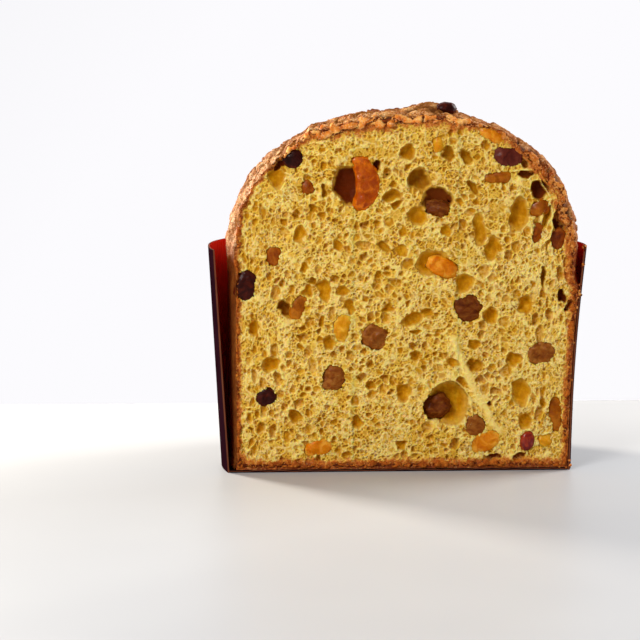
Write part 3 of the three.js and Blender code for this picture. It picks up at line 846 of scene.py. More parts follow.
# Cells drawn at random, the larger ones first: how many tries, and their smallest and largest radius
CELL_SIZES = [
    (700, 1.8, 3.1),
    (3600, 1.15, 1.8),
    (12000, 0.75, 1.15),
    (90000, 0.42, 0.75),
]
WARP = 0.9  # how far noise pushes the outlines of the bubbles about
FINE_WARP = 0.42  # the same for the finer noise
WALL = 0.12  # half the thickness of the membranes between cells
FILM_SHARE = 0.2  # the share of the smaller cells that a film still covers
FILM_LARGEST = 1.3
COARSE = 1.1  # cells with a larger radius than this gather in patches
BACK = 13  # how far behind the cut the crumb's pieces end
FAR = 9.0  # further than any cell reaches
POCKET = 1.5  # how far behind a piece of fruit its pocket goes


class Face:
    """The cut face as a grid of points, with how deep the crumb lies behind the cut at each."""

    def __init__(self, outline):
        low, high = outline.min(0) - 1, outline.max(0) + 1
        self.x = np.arange(low[0], high[0], CRUMB_STEP)
        self.z = np.arange(low[1], high[1], CRUMB_STEP)
        self.low = np.array([self.x[0], self.z[0]])
        gx, gz = np.meshgrid(self.x, self.z)
        self.shape = gx.shape
        self.flat = join(gx, CUT_Y, gz).reshape(-1, 3)
        push = [WARP * noise(self.flat, 6, 5 + k) + FINE_WARP * noise(self.flat, 1.7, 8 + k)
                for k in (0, 1)]
        self.warped_x = gx + push[0].reshape(self.shape)
        self.warped_z = gz + push[1].reshape(self.shape)
        self.torn = (noise(self.flat, 2.6, 17) + 0.6 * noise(self.flat, 1.2, 19)).reshape(self.shape)
        self.coarse_share = (0.55 + 1.1 * noise(self.flat, 11, 27)).reshape(self.shape)
        layers = np.zeros((6, *self.shape))
        self.deep, self.hollow, self.bowl, self.lip, self.dark, self.raised = layers
        self.free = np.ones(self.shape, bool)
        self.edge = self.edge_distance(outline)

    def edge_distance(self, outline):
        """Millimetres in from the outline, below 0 outside it."""
        tree = tree_of([(x, z, 0) for x, z in outline])
        gap = np.array([tree.find((x, z, 0))[2] for x, _, z in self.flat])
        angle, reach = round_middle(*outline.T)
        own_angle, own_reach = round_middle(self.flat[:, 0], self.flat[:, 2])
        inside = own_reach < np.interp(own_angle, angle, reach, period=2 * math.pi)
        return np.where(inside, gap, -gap).reshape(self.shape)

    def index(self, x, z):
        column = np.clip(((x - self.low[0]) / CRUMB_STEP).astype(int), 0, self.shape[1] - 1)
        row = np.clip(((z - self.low[1]) / CRUMB_STEP).astype(int), 0, self.shape[0] - 1)
        return row, column

    def window(self, low, high):
        """The part of the grid between two corners."""
        row, column = self.index(np.array([low[0], high[0]]), np.array([low[1], high[1]]))
        return slice(row[0], row[1] + 1), slice(column[0], column[1] + 1)

    def around(self, x, z, reach):
        return self.window((x - reach, z - reach), (x + reach, z + reach))

    def ellipse(self, at, x, z, width, height, lean):
        """How far out each point of a window is from an ellipse's middle: 1 on its outline."""
        dx, dz = self.warped_x[at] - x, self.warped_z[at] - z
        c, s = math.cos(math.radians(lean)), math.sin(math.radians(lean))
        return np.hypot((dx * c - dz * s) / (width / 2), (dx * s + dz * c) / (height / 2))

    def corners(self, at, x, z, mean):
        """A factor that gives a bubble a few blunt corners, different for each bubble."""
        turn = np.arctan2(self.warped_z[at] - z, self.warped_x[at] - x)
        blunt = min(1, 3.5 / mean)
        return 1 + blunt * (0.09 * np.cos(3 * turn + x + z) + 0.06 * np.cos(5 * turn + 2 * x - z))

    def dig(self, x, z, width, height, deep, lean, dark):
        """Sinks one large bubble, with a smooth bowl and a thin lip round it."""
        mean = (width + height) / 4
        at = self.around(x, z, max(width, height) / 2 + WARP + 1.2)
        out = self.ellipse(at, x, z, width, height, lean) * self.corners(at, x, z, mean)
        out += 0.6 * self.torn[at] / mean
        within = 1 - out
        for layer, value in (
            (self.deep, deep * np.maximum(0, 1 - out ** 2) ** 0.52),
            (self.hollow, smooth(0, 0.1, within)),
            (self.bowl, smooth(0.0, 0.4, within)),
            # Painted shade: the hollow's dark share, which darkens its colour within.
            (self.dark, dark * smooth(0, 0.25, within)),
            (self.lip, smooth(0, 0.4, 0.6 - np.abs((out - 1) * mean - 0.3))),
        ):
            layer[at] = np.maximum(layer[at], value)
        self.free[at] &= out > 1 + 0.3 / mean

    def fold(self, width, rise, *line):
        """Raises the crumb along a line."""
        line = np.array(line, float)
        at = self.window(line.min(0) - 3 * width - 1, line.max(0) + 3 * width + 1)
        x, z = self.warped_x[at], self.warped_z[at]
        gap = np.full(x.shape, np.inf)
        for (ax, az), (bx, bz) in zip(line[:-1], line[1:]):
            dx, dz = bx - ax, bz - az
            along = clamp01(((x - ax) * dx + (z - az) * dz) / (dx * dx + dz * dz))
            gap = np.minimum(gap, np.hypot(x - ax - along * dx, z - az - along * dz))
        self.raised[at] = np.maximum(self.raised[at], rise * np.exp(-(gap / width) ** 2))


def scatter_cells(face, rng):
    """Fills the crumb with cells from the larger to the finest. Returns their places and shapes."""
    circle = np.linspace(0, 2 * math.pi, 9)[:-1]
    cells = []
    taken = ~face.free
    for tries, small, large in CELL_SIZES:
        xs = rng.uniform(face.x[0], face.x[-1], tries)
        zs = rng.uniform(face.z[0], face.z[-1], tries)
        sizes = small + (large - small) * rng.random(tries) ** 1.4
        shapes = rng.random((tries, 5))
        rows, columns = face.index(xs, zs)
        for x, z, r, shape, row, column in zip(xs, zs, sizes, shapes, rows, columns):
            if taken[row, column] or face.edge[row, column] < 0.6 + 1.6 * r:
                continue
            if r > COARSE and shape[4] > face.coarse_share[row, column]:
                continue
            near = face.index(x + 0.8 * r * np.cos(circle), z + 0.8 * r * np.sin(circle))
            if taken[near].any():
                continue
            pull = math.sqrt(1 + 0.5 * shape[0] + 0.8 * float(smooth(50, 72, abs(x))))
            lean = 180 * shape[1] if abs(x) < 48 else 24 * (shape[1] - 0.5)
            cells.append((x, z, r, pull, lean, shape[2], shape[3]))
            at = face.around(x, z, r * 1.4)
            taken[at] |= face.ellipse(at, x, z, 1.9 * r / pull, 1.9 * r * pull, lean) < 1
    return cells


def foam(face, cells):
    """How deep each point lies in a cell, how far within it, and how far within a coarse one."""
    nearest = np.full(face.shape, FAR)
    second = np.full(face.shape, FAR)
    own = np.full(face.shape, -1)
    for i, (x, z, r, pull, lean, _, _) in enumerate(cells):
        at = face.around(x, z, r * pull + 1.3)
        value = r * (face.ellipse(at, x, z, 2 * r / pull, 2 * r * pull, lean) - 1)
        closer = value < nearest[at]
        second[at] = np.where(closer, nearest[at], np.minimum(second[at], value))
        own[at] = np.where(closer, i, own[at])
        nearest[at] = np.minimum(nearest[at], value)
    table = np.array(cells + [(0, 0, 1, 1, 0, 0, 0)])
    radius, kind, depth = table[own, 2], table[own, 5], table[own, 6]
    thick = WALL * (0.7 + 0.5 * radius + 0.8 * noise(face.flat, 3.1, 23).reshape(face.shape))
    rise = clamp01((np.minimum(second - nearest, 2.4) / 2 - thick) / (0.7 * radius))
    bowl = np.where(own < 0, 0, np.sqrt(1 - (1 - rise) ** 2))
    deep = radius * (0.4 + 1.1 * depth)
    film = (kind < FILM_SHARE) & (radius < FILM_LARGEST)
    deep = np.where(film, 0.2 * radius, deep)
    return deep * bowl, bowl * np.where(film, 0.45, 1), bowl * smooth(1.0, 1.6, radius)


def open_pockets(face, fruit):
    """Sinks the crumb behind each piece of fruit, with a torn edge that laps over the piece."""
    for piece, set_back in fruit:
        tree = BVHTree.FromPolygons([v.co / MM for v in piece.data.vertices],
                                    [tuple(f.vertices) for f in piece.data.polygons])
        points = points_of(piece.data)
        low, high = points.min(0), points.max(0)
        reach = max(high[0] - low[0], high[2] - low[2]) / 2 + 1
        at = face.around((low[0] + high[0]) / 2, (low[2] + high[2]) / 2, reach)
        rows = np.arange(at[0].start, at[0].stop)
        columns = np.arange(at[1].start, at[1].stop)
        covered = np.zeros((len(rows), len(columns)), bool)
        for i, row in enumerate(rows):
            for j, column in enumerate(columns):
                hit = tree.ray_cast((face.x[column], CUT_Y - 20, face.z[row]), (0, 1, 0))
                covered[i, j] = hit[0] is not None
        inward = np.zeros(covered.shape)
        inner = covered
        while inner.any():
            inward += inner * CRUMB_STEP
            smaller = inner.copy()
            smaller[1:] &= inner[:-1]
            smaller[:-1] &= inner[1:]
            smaller[:, 1:] &= inner[:, :-1]
            smaller[:, :-1] &= inner[:, 1:]
            inner = smaller
        opened = inward > 0.75 + 0.7 * face.torn[at]
        face.deep[at] = np.where(opened, np.maximum(face.deep[at], set_back + POCKET), face.deep[at])
        # The pocket is coloured as a hollow, with full painted shade.
        for layer in (face.hollow, face.bowl, face.dark):
            layer[at] = np.where(opened, 1, layer[at])
        face.free[at] &= ~opened


def crust_thickness(x, z):
    """How deep the baked edge reaches into the face."""
    glaze = smooth(140, 150, z) * between(-44, -38, 26, 40, x)
    right = smooth(40, 66, x) * (0.5 + 0.5 * smooth(60, 100, z)) * smooth(8, 16, z)
    bottom = fade(4, 12, z)
    thin = smooth(44, 52, -x) * smooth(112, 122, z)
    return 2.2 + 3.0 * glaze + 2.0 * right + 2.6 * bottom - 0.9 * thin


def crumb_pieces(outline, fruit):
    """The crumb's whole face with its bubbles, cells and folds, in closed strips."""
    face = Face(outline)
    rng = np.random.default_rng(SEED)
    open_pockets(face, fruit)
    for hollow in HOLLOWS:
        face.dig(*hollow)
    for width, rise, *line in FOLDS:
        face.fold(width, rise, *line)
    cells, within, coarse = (layer.reshape(-1) for layer in foam(face, scatter_cells(face, rng)))
    flat = face.flat
    x, _, z = flat.T
    hollow, edge, raised = (layer.reshape(-1) for layer in (face.hollow, face.edge, face.raised))
    skin = smooth(0, 2.2, edge)
    swell = 0.9 * fbm(flat, 15, 2, 301) + 0.4 * fbm(flat, 2.4, 3, 303) * (1 - 0.9 * hollow)
    fibre = smooth(0.82, 0.98, 1 - np.abs(fbm(flat, 3.4, 2, 315))) * (1 - hollow)
    often = noise(flat, 9, 321) + 0.3 * smooth(10, 50, x) - 0.5 * smooth(110, 150, z)
    # The strands stand forward a little, and the pale colour they are given is a painted highlight.
    highlit_strand = smooth(0.84, 0.98, 1 - np.abs(fbm(flat, 1.9, 3, 319))) * smooth(-0.3, 0.4, often)
    highlit_strand = np.maximum(highlit_strand, 0.8 * fibre) * (1 - hollow)
    thick = crust_thickness(x, z) * (1 + 0.3 * fbm(flat, 6, 2, 307))
    in_crust = clamp01(1 - edge / (2 * thick))
    crumbly = 0.7 * fbm(flat, 2.6, 3, 309) + 0.3 * noise(flat, 0.9, 311)
    crumbly *= smooth(0.45, 0.65, in_crust)
    baked = smooth(0.42, 0.7, in_crust)
    soft = fade(0.3, 0.6, in_crust)
    cells *= (1 - hollow) * (1 - 0.6 * baked) * (1 - 0.8 * smooth(0.3, 0.9, raised))
    sunk = fade(0.2, 0.8, raised)
    deep = face.deep.reshape(-1) * sunk + cells
    lip = face.lip.reshape(-1) * smooth(-0.3, 0.6, noise(flat, 5, 313))
    forward = 0.35 * lip + 0.2 * fibre + 0.18 * highlit_strand + raised
    points = flat.copy()
    points[:, 1] += deep * smooth(0.3, 1.2, edge) + skin * (0.45 + swell + crumbly - forward)
    masks = {
        "lip": lip * (1 - hollow) * soft,
        "highlit_strand": np.maximum(highlit_strand, 0.7 * smooth(0.3, 0.9, raised)) * soft,
        "within": np.maximum(within, hollow) * (1 - 0.8 * fibre) * fade(0.15, 0.5, raised),
        "hollow": np.maximum(hollow, 0.9 * coarse * (1 - baked)) * sunk,
        "bowl": np.maximum(face.bowl.reshape(-1), coarse * (1 - hollow)),
        # Painted shade, stronger where the crumb lies deeper.
        "deep": face.dark.reshape(-1) * smooth(0.3, 1.5, deep),
        "crust": in_crust,
    }
    return slabs(face, points, masks, outline)


def slabs(face, points, masks, outline):
    """Cuts the face's grid to its outline and into upright strips, each closed behind."""
    quads = grid_faces(*face.shape)
    quads = quads[(face.edge.reshape(-1) > -0.5 * CRUMB_STEP)[quads].all(1)]
    snap_edge(points, quads, outline)
    middle_x = points[quads].mean(1)[:, 0]
    in_order = np.sort(middle_x)
    parts = math.ceil(2 * len(quads) / CRUMB_TRIANGLES)
    walls = [in_order[len(quads) * k // parts] for k in range(1, parts)]
    which = np.searchsorted(walls, middle_x)
    pieces = []
    for k in range(parts):
        own = quads[which == k]
        used, own = np.unique(own, return_inverse=True)
        own = own.reshape(-1, 4)
        front = points[used]
        rim = rim_edges(own)
        ring = np.unique(rim)
        place_of = np.zeros(len(front), int)
        place_of[ring] = np.arange(len(ring)) + len(front)
        back = front[ring].copy()
        back[:, 1] = CUT_Y + BACK
        tip = [[back[:, 0].mean(), CUT_Y + BACK, back[:, 2].mean()]]
        a, b = rim.T
        sides = join(b, a, place_of[a], place_of[b])
        fan = join(place_of[b], place_of[a], len(front) + len(ring))
        own_masks = {key: np.concatenate([v[used], v[used][ring], [0]]) for key, v in masks.items()}
        piece = make_mesh(f"crumb_{k + 1}", np.concatenate([front, back, tip]),
                          [np.concatenate([own, sides]), fan], [CRUMB], own_masks)
        sharpen_between(piece.data, rim)
        pieces.append(piece)
    return pieces


def sharpen_between(mesh, pairs):
    """Marks the edges between pairs of points as sharp."""
    size = len(mesh.vertices)
    low, high = np.sort(edge_ends(mesh), 1).astype(np.int64).T
    wanted_low, wanted_high = np.sort(pairs, 1).astype(np.int64).T
    sharp = np.isin(low * size + high, wanted_low * size + wanted_high)
    mesh.attributes.new("sharp_edge", "BOOLEAN", "EDGE").data.foreach_set("value", sharp)


def rim_edges(quads):
    """The directed edges that only one quad has."""
    a = quads.reshape(-1)
    b = np.roll(quads, -1, 1).reshape(-1)
    size = int(quads.max()) + 1
    there, back = a * size + b, b * size + a
    alone = ~np.isin(there, back)
    return join(a[alone], b[alone])


def snap_edge(points, quads, outline):
    """Moves the grid's stepped edge onto the outline, in the plane of the cut."""
    closed = np.vstack([outline, outline[:1]])
    fine = np.concatenate([closed[:-1] + (closed[1:] - closed[:-1]) * t for t in (0, 0.25, 0.5, 0.75)])
    tree = tree_of([(x, z, 0) for x, z in fine])
    for i in np.unique(rim_edges(quads)):
        near = tree.find((points[i, 0], points[i, 2], 0))[0]
        points[i] = (near[0], CUT_Y, near[1])


# The baked edge of the cut, and loose crumbs

RIM_STEP = 0.36
RIM_AROUND = 26
RIM_PASSES = 6  # times its path is smoothed
RIM_WIDEST = 5.2
RIM_SET_BACK = 0.9
RIM_HIGHEST = 1.6
CRUMBS = [  # crumbs on the case's right cut edge: height, how far out from the edge, size
    (108.0, -0.2, 1.2),
    (106.6, 0.2, 0.7),
    (99.8, 0.3, 0.8),
    (98.6, -0.2, 0.6),
    (90.0, -0.4, 1.0),
    (86.4, -0.2, 1.4),
    (85.0, 0.5, 0.9),
    (83.4, -0.5, 1.0),
    (79.0, -0.4, 0.8),
    (62.0, -0.3, 0.6),
    (44.0, -0.3, 0.6),
    (30.5, -0.3, 0.7),
    (4.6, 0.2, 1.1),
    (2.2, 0.6, 0.9),
    (1.4, -1.4, 0.8),
    (1.6, -4.6, 0.6),
]


def wall_edge(z):
    """How far along X the case's wall meets the cut, at a height."""
    return math.sqrt((wall_radius(z) - PAPER / 2) ** 2 - CUT_Y ** 2)


def all_round(values):
    """A number for each ring of the rim, repeated for each of the ring's points."""
    return np.repeat(values, RIM_AROUND)


def rim_piece(outline):
    """A rough, granular roll along the outline: the crust and glaze where they are cut."""
    closed = np.vstack([outline, outline[:1]])
    length = distance_along(*closed.T)
    rings = int(length[-1] / RIM_STEP)
    at = np.arange(rings) * length[-1] / rings
    path = join(*(np.interp(at, length, part) for part in closed.T))
    for _ in range(RIM_PASSES):
        path = (np.roll(path, 1, 0) + path + np.roll(path, -1, 0)) / 3
    along = np.roll(path, -1, 0) - np.roll(path, 1, 0)
    along /= np.hypot(*along.T)[:, None]
    outward = join(along[:, 1], -along[:, 0])
    x, z = path.T
    flat_path = join(x, 0.0, z)
    inside_case = fade(104, 110, z)
    uneven = 0.42 + 0.16 * fbm(flat_path, 11, 2, 501)
    uneven -= inside_case * (0.12 + 0.1 * noise(flat_path, 5, 507))
    half = np.minimum(crust_thickness(x, z), RIM_WIDEST) * uneven
    turn = np.linspace(0, 2 * math.pi, RIM_AROUND, endpoint=False)
    centre = path - outward * (half * (0.8 + 0.35 * inside_case))[:, None]
    across = centre[:, None] + outward[:, None] * (half[:, None] * np.cos(turn))[..., None]
    deep = 1.1 + 0.25 * half
    y = CUT_Y + RIM_SET_BACK + deep[:, None] * np.sin(turn)
    points = join(across[..., 0], y, across[..., 1]).reshape(-1, 3)
    out_x, out_z = (part[:, None] * np.cos(turn) for part in outward.T)
    normal = join(out_x, np.sin(turn), out_z).reshape(-1, 3)
    top = all_round(smooth(96, 130, z))
    lumps = np.abs(fbm(points, 4.6, 3, 503))
    shards = 0.5 - 2 * np.abs(fbm(points, 2.0, 2, 509))
    grain = fbm(points, 1.1, 2, 505)
    calm = 1 - 0.5 * all_round(smooth(20, 50, x) * (1 - inside_case))
    coarse = 0.6 + 0.8 * top + 0.7 * all_round(inside_case)
    rise = calm * coarse * (2.7 * lumps + 0.6 * shards - 0.7) + 0.4 * grain
    towards_paper = all_round(inside_case) * smooth(0, 0.6, np.tile(np.cos(turn), rings))
    rise = np.minimum(rise, RIM_HIGHEST - 1.35 * towards_paper)
    points += normal * rise[:, None]
    quads = grid_faces(rings + 1, RIM_AROUND, closed=True) % len(points)
    # Inside the case the rim is painted darker as shade, and it is darker towards both sides too.
    sides = 0.6 * smooth(20, 50, x) + smooth(56, 68, -x)
    masks = {
        # Painted shade: dark where the relief sinks.
        "pit": fade(-0.75, 0.35, rise),
        "baked": all_round(np.maximum(inside_case, sides)),
    }
    return make_mesh("crust_rim", points, quads[:, ::-1], [RIM], masks)


def crumbs_piece():
    """Small crumbs and flakes that cling to the case's edge."""
    points, faces, count = [], [], 0
    for i, (z, out, size) in enumerate(CRUMBS):
        ball = bmesh.new()
        bmesh.ops.create_icosphere(ball, subdivisions=3, radius=1)
        shape = np.array([v.co[:] for v in ball.verts])
        stretch = 0.55 + 0.9 * draws(5 * i + 0.3, 3)
        bumps = 1 + 0.5 * fbm(shape + 7 * i, 0.9, 3, 601)
        hollow = RIGHT_HOLLOW * math.sin(math.pi * z / CASE_HEIGHT)
        spot = np.array([wall_edge(z) + out - hollow, CUT_Y - 0.2 * size, z])
        points.append(spot + 0.8 * size * shape * bumps[:, None] * stretch)
        faces.append(np.array([[v.index for v in f.verts] for f in ball.faces]) + count)
        count += len(shape)
        ball.free()
    points = np.concatenate(points)
    masks = {"pit": smooth(0.2, 0.8, 0.5 + noise(points, 0.8, 603)), "baked": np.full(len(points), 0.5)}
    return make_mesh("crumbs", points, np.concatenate(faces), [RIM], masks)


# Fruit

ON_TOP = "raisin_on_top"  # the one piece that isn't in the face
SOFTENING = 3
# Pieces that look different from their kind
LOOK_OF = {
    "raisin_right_top": "purple_raisin",
    "raisin_right": "brown_raisin",
    "peel_mid": "amber",
    "peel_low": "amber",
    "peel_top_right": "amber",
    "peel_low_left": "amber",
    "peel_sliver": "gold",
    "peel_small_top": "gold",
    "peel_gold": "gold",
    "peel_wedge": "brown_peel",
    "peel_right": "brown_peel",
    "peel_upper_right": "brown_peel",
    "citron_right": "brown_peel",
    "chestnut_mid": "dark_chestnut",
    "chestnut_bubble": "dark_chestnut",
    "chestnut_top": "dark_chestnut",
}
# For each kind: how wide its folds are, how high, and how far its outline is pushed about
WRINKLES = {
    "raisin": (3.6, 0.32, 0.5),
    "sultana": (2.4, 0.3, 0.6),
    "cherry": (3.0, 0.06, 0.1),
    "peel": (3.4, 0.16, 0.6),
    "citron": (3.4, 0.2, 0.8),
    "chestnut": (2.2, 0.5, 1.1),
}
SET_BACK = 0.5  # how much further in than its solid a piece of fruit sits
PEEL_HOLLOW = 3.2  # how far the large peel's left side curves in
BULGE = 1.0  # how far the middle of a piece's front stands forward
GROWTH = (1.1, 1, 1.1)  # fruit is this much wider than what shows, and the crumb laps over it
BUBBLE_GROWTH = (1.375, 1.1, 1.155)  # the same for the piece in the large bubble


def fruit_piece(node):
    """The node's own shape made fine, rounded and wrinkled."""
    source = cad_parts[node].data.copy()
    piece = new_object(node + "_fine", source)
    remesh = piece.modifiers.new("fine", "REMESH")
    remesh.mode = "VOXEL"
    remesh.voxel_size = FRUIT_VOXEL * MM
    apply_modifiers(piece)
    kind = node.split("_")[0]
    look = LOOK_OF.get(node, kind)
    width, height, uneven = WRINKLES[kind]
    soften(piece.data, SOFTENING)
    points = points_of(piece.data)
    normals = np.zeros(len(points) * 3, np.float32)
    piece.data.vertices.foreach_get("normal", normals)
    normals = normals.reshape(-1, 3)
    seed = 400 + sum(map(ord, node))
    folds = np.abs(fbm(points, width, 3, seed)) * 2 - 0.55
    lumps = noise(points, 4.5, seed + 50) + 0.5 * noise(points, 2.2, seed + 60)
    points += normals * (height * folds + uneven * lumps)[:, None]
    if node == "peel_big":
        middle, half = middle_and_half(points)
        out_x, _, out_z = ((points - middle) / half).T
        bend = (1 - out_z ** 2) * smooth(0.2, -0.9, out_x)
        trim = smooth(0.3, 1, np.abs(out_z)) * smooth(0.1, 0.9, out_x)
        points[:, 0] += PEEL_HOLLOW * (bend - trim)
    middle, half = middle_and_half(points)
    outer = np.hypot(*((points - middle) / half)[:, [0, 2]].T)
    if node != ON_TOP:
        points[:, 1] -= BULGE * clamp01(1 - outer ** 2) * (points[:, 1] < middle[1])
        wide = BUBBLE_GROWTH if node == "chestnut_bubble" else GROWTH
        points = middle + (points - middle) * wide
        points[:, 1] += SET_BACK
    set_points(piece.data, points)
    set_masks(piece.data, {"outer": outer})
    piece.data.materials.clear()
    piece.data.materials.append(FRUIT_LOOKS[look])
    piece.data.update()
    piece.data.shade_smooth()
    return place(piece, "peel" if kind == "citron" else kind, node)


def soften(mesh, passes):
    """Rounds a fine mesh: each point moves to the mean of its neighbours."""
    points = points_of(mesh)
    a, b = edge_ends(mesh).T
    count = np.bincount(a, minlength=len(points)) + np.bincount(b, minlength=len(points))
    for _ in range(passes):
        total = np.zeros_like(points)
        for axis in range(3):
            total[:, axis] = (np.bincount(a, points[b, axis], len(points))
                              + np.bincount(b, points[a, axis], len(points)))
        points = 0.4 * points + 0.6 * total / count[:, None]
    set_points(mesh, points)
    mesh.update()


# The paper case

WALL_STEP = 0.6
WALL_ROWS = 26
FLUTE = 2.6  # from one flute to the next round the wall
FLUTE_DEPTH = 0.09
WAVE = 0.45  # how far the rim's waves stand out
SHARP_ANGLE = 50  # degrees between faces at which an edge is sharp
BASE_POINTS = 260
BASE_GAP = 0.3  # between the base and the wall
RIBBON_HALF = 82.2  # half the length of the base's wavy layer
RIBBON_STEP = 0.5
RIBBON_Z = 0.72
RIGHT_HOLLOW = 1.5  # how far the wall curves in half way up on the right


def wall_radius(z):
    return CASE_BASE_RADIUS + (CASE_RIM_RADIUS - CASE_BASE_RADIUS) * z / CASE_HEIGHT


def wave(angle, z):
    rise = z / CASE_HEIGHT
    return WAVE * rise * (1 + np.sin(9 * angle + 1.2) * np.sin(4 * angle + 0.5 + 1.5 * rise))


def wall_reach(angle, z):
    """How far the wall's outside stands from the case's axis, at an angle round it and a height."""
    hollow = RIGHT_HOLLOW * np.sin(math.pi * z / CASE_HEIGHT) * clamp01(np.cos(angle)) ** 3
    return wall_radius(z) + wave(angle, z) - hollow


def case_wall_piece():
    """The wall: dark outside and red inside, with waves, flutes and pale brown cut edges."""
    columns = int(2 * math.pi * CASE_RIM_RADIUS * 0.6 / WALL_STEP)
    rise = CASE_HEIGHT * np.linspace(0, 1, WALL_ROWS + 1)
    share = np.linspace(0, 1, columns)
    surfaces = []
    for inward in (0.0, PAPER):
        z = rise[:, None]
        radius = wall_radius(z) - inward
        start = np.arcsin(CUT_Y / radius)
        angle = start + share * (math.pi - 2 * start)
        radius = wall_reach(angle, z) - inward
        flute = FLUTE_DEPTH * np.sin(2 * math.pi * angle * CASE_BASE_RADIUS / FLUTE)
        radius = radius + flute * smooth(0, 0.02, share) * smooth(0, 0.02, 1 - share)
        y = np.where((share == 0) | (share == 1), CUT_Y, radius * np.sin(angle))
        surfaces.append(join(radius * np.cos(angle), y, z).reshape(-1, 3))
    count = len(surfaces[0])
    outer = grid_faces(WALL_ROWS + 1, columns)
    inner = outer[:, ::-1] + count
    top = np.arange(columns - 1) + WALL_ROWS * columns
    low = np.arange(columns - 1)
    side = np.arange(WALL_ROWS) * columns
    rims = np.concatenate([
        join(top, top + 1, top + 1 + count, top + count),
        join(low + 1, low, low + count, low + 1 + count),
        join(side + columns, side, side + count, side + columns + count)[:, ::-1],
        join(side, side + columns, side + columns + count, side + count)[:, ::-1] + columns - 1,
    ])
    faces = np.concatenate([outer, inner, rims])
    material = np.repeat([0, 1, 2], [len(outer), len(inner), len(rims)])
    piece = make_mesh("paper_wall", np.concatenate(surfaces), faces, [PAPER_OUT, PAPER_IN, PAPER_EDGE],
                      face_material=material)
    sharpen(piece)
    return place(piece, "paper", "case_wall")


def sharpen(piece):
    """Marks the edges that turn by more than the sharp angle."""
    mesh = bmesh.new()
    mesh.from_mesh(piece.data)
    bmesh.ops.recalc_face_normals(mesh, faces=mesh.faces)
    for e in mesh.edges:
        if len(e.link_faces) == 2 and e.calc_face_angle() > math.radians(SHARP_ANGLE):
            e.smooth = False
    mesh.to_mesh(piece.data)
    mesh.free()


def case_base_piece():
    """The base, of the same dark paper as the wall's outside."""
    radius = CASE_BASE_RADIUS - PAPER - BASE_GAP
    start = math.asin(CUT_Y / radius)
    angle = np.linspace(start, math.pi - start, BASE_POINTS)
    points = ring_points(np.full(2, radius), np.array([0.0, BASE_THICKNESS]), angle)
    low = np.arange(BASE_POINTS)
    high = low + BASE_POINTS
    wall = join(low, np.roll(low, -1), np.roll(high, -1), high)
    piece = make_mesh("paper_base", points, [wall, low[None, ::-1], high[None]], [PAPER_OUT])
    sharpen(piece)
    return place(piece, "paper", "case_base")


def base_ribbon_piece():
    """The pale wavy layer that shows between the base's two papers where they are cut."""
    x = np.arange(-RIBBON_HALF, RIBBON_HALF, RIBBON_STEP)
    z = RIBBON_Z + 0.14 * np.sin(x / 1.9) + 0.1 * np.sin(x / 5.3 + 1)
    z += 0.08 * fbm(join(x, 0.0, 0.0), 7, 2, 701)
    corners = [(-0.25, -0.14), (-0.25, 0.14), (0.6, 0.14), (0.6, -0.14)]
    edges = [join(x, CUT_Y + back, z + up) for back, up in corners]
    points = np.stack(edges, 1).reshape(-1, 3)
    last = 4 * (len(x) - 1)
    ends = [[3, 2, 1, 0], [last, last + 1, last + 2, last + 3]]
    quads = np.concatenate([grid_faces(len(x), 4, closed=True), ends])
    piece = make_mesh("paper_ribbon", points, quads, [PAPER_EDGE])
    sharpen(piece)
    return place(piece, "paper")


# The camera, the floor and the light

CAMERA = (-88, -1077, 209)
CAMERA_DOWN = 7.3  # degrees below level
CAMERA_RIGHT = 2.7  # degrees to the right of straight ahead
FOCAL_PIXELS = 2233  # focal length in pixels of the 640-pixel frame
FRAME_PIXELS = 640
SENSOR = 36
FLOOR_BACK = 182  # where the table ends behind the case
FLOOR_FRONT = -2500
FLOOR_HALF = 4000
FLOOR_TOP = -0.02  # just under the case
FLOOR_THICKNESS = 30
LIT = (0, 0, 90)  # what the lamps point at
BACKDROP_WAY = (0.35, 1, -0.35)  # the way in which the backdrop grows brighter
BACKDROP = [  # its colours, along that way
    (0.0, (146, 146, 150)),
    (0.45, (194, 194, 197)),
    (0.86, (238, 238, 240)),
    (1.0, (252, 251, 254)),
]


def camera():
    data = bpy.data.cameras.new("camera")
    data.sensor_width = SENSOR
    data.sensor_fit = "HORIZONTAL"
    data.lens = FOCAL_PIXELS / FRAME_PIXELS * SENSOR
    data.clip_end = 20
    eye = new_object("camera", data)
    eye.location = Vector(CAMERA) * MM
    eye.rotation_euler = (math.radians(90 - CAMERA_DOWN), 0, math.radians(-CAMERA_RIGHT))
    bpy.context.scene.camera = eye


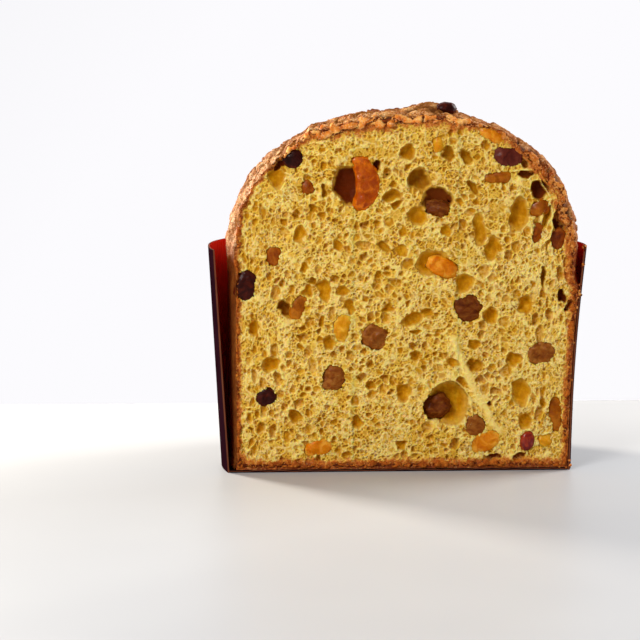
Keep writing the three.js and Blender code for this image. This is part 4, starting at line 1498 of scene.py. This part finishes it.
def floor():
    n = Nodes("floor")
    colour = n.ramp(n.noise(160, 2), (0.3, (187, 187, 188)), (0.7, (193, 193, 193)))
    material = n.finish(Base_Color=colour, Roughness=0.42, Specular_IOR_Level=0.4)
    corners = [(x, y, z) for z in (FLOOR_TOP, FLOOR_TOP - FLOOR_THICKNESS)
               for x, y in ((-FLOOR_HALF, FLOOR_FRONT), (FLOOR_HALF, FLOOR_FRONT),
                            (FLOOR_HALF, FLOOR_BACK), (-FLOOR_HALF, FLOOR_BACK))]
    faces = np.array([[0, 1, 2, 3], [4, 7, 6, 5], [0, 4, 5, 1], [1, 5, 6, 2], [2, 6, 7, 3], [3, 7, 4, 0]])
    slab = make_mesh("floor", np.array(corners), faces, [material])
    slab.data.shade_flat()


def area_light(name, position, width, power, colour=(1, 1, 1)):
    data = bpy.data.lights.new(name, "AREA")
    data.size = width * MM
    data.energy = power
    data.color = colour
    lamp = new_object(name, data)
    lamp.location = Vector(position) * MM
    lamp.rotation_euler = (Vector(LIT) - Vector(position)).to_track_quat("-Z", "Y").to_euler()


def lighting():
    """A white studio: bright behind the object, dimmer in front and above, with large soft lamps."""
    world = bpy.data.worlds.new("studio")
    world.use_nodes = True
    tree = world.node_tree
    back = tree.nodes["Background"]
    towards = tree.nodes.new("ShaderNodeTexCoord")
    across = tree.nodes.new("ShaderNodeVectorMath")
    across.operation = "DOT_PRODUCT"
    across.inputs[1].default_value = BACKDROP_WAY
    band = tree.nodes.new("ShaderNodeValToRGB")
    set_stops(band.color_ramp, BACKDROP)
    tree.links.new(towards.outputs["Generated"], across.inputs[0])
    tree.links.new(across.outputs["Value"], band.inputs["Fac"])
    tree.links.new(band.outputs["Color"], back.inputs["Color"])
    bpy.context.scene.world = world
    area_light("key", (-620, -900, 760), 440, 10.5)
    area_light("back_left", (-520, 460, 280), 160, 11, (1.0, 0.93, 0.82))
    area_light("back_right", (700, 300, 420), 400, 8)
    bpy.context.scene.view_settings.view_transform = "Standard"


camera()
floor()
lighting()

fruit_nodes = [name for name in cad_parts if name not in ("bread", "case_wall", "case_base")]
fruit_pieces = {name: fruit_piece(name) for name in sorted(fruit_nodes)}
crust, cut_outline = crust_piece()
place(crust, "bread", "bread")
in_face = [(piece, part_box(name)[1].y / MM - CUT_Y + SET_BACK)
           for name, piece in fruit_pieces.items() if name != ON_TOP]
for crumb in crumb_pieces(cut_outline, in_face):
    place(crumb, "bread", "bread")
place(rim_piece(cut_outline), "bread", "bread")
place(crumbs_piece(), "bread")
case_wall_piece()
case_base_piece()
base_ribbon_piece()
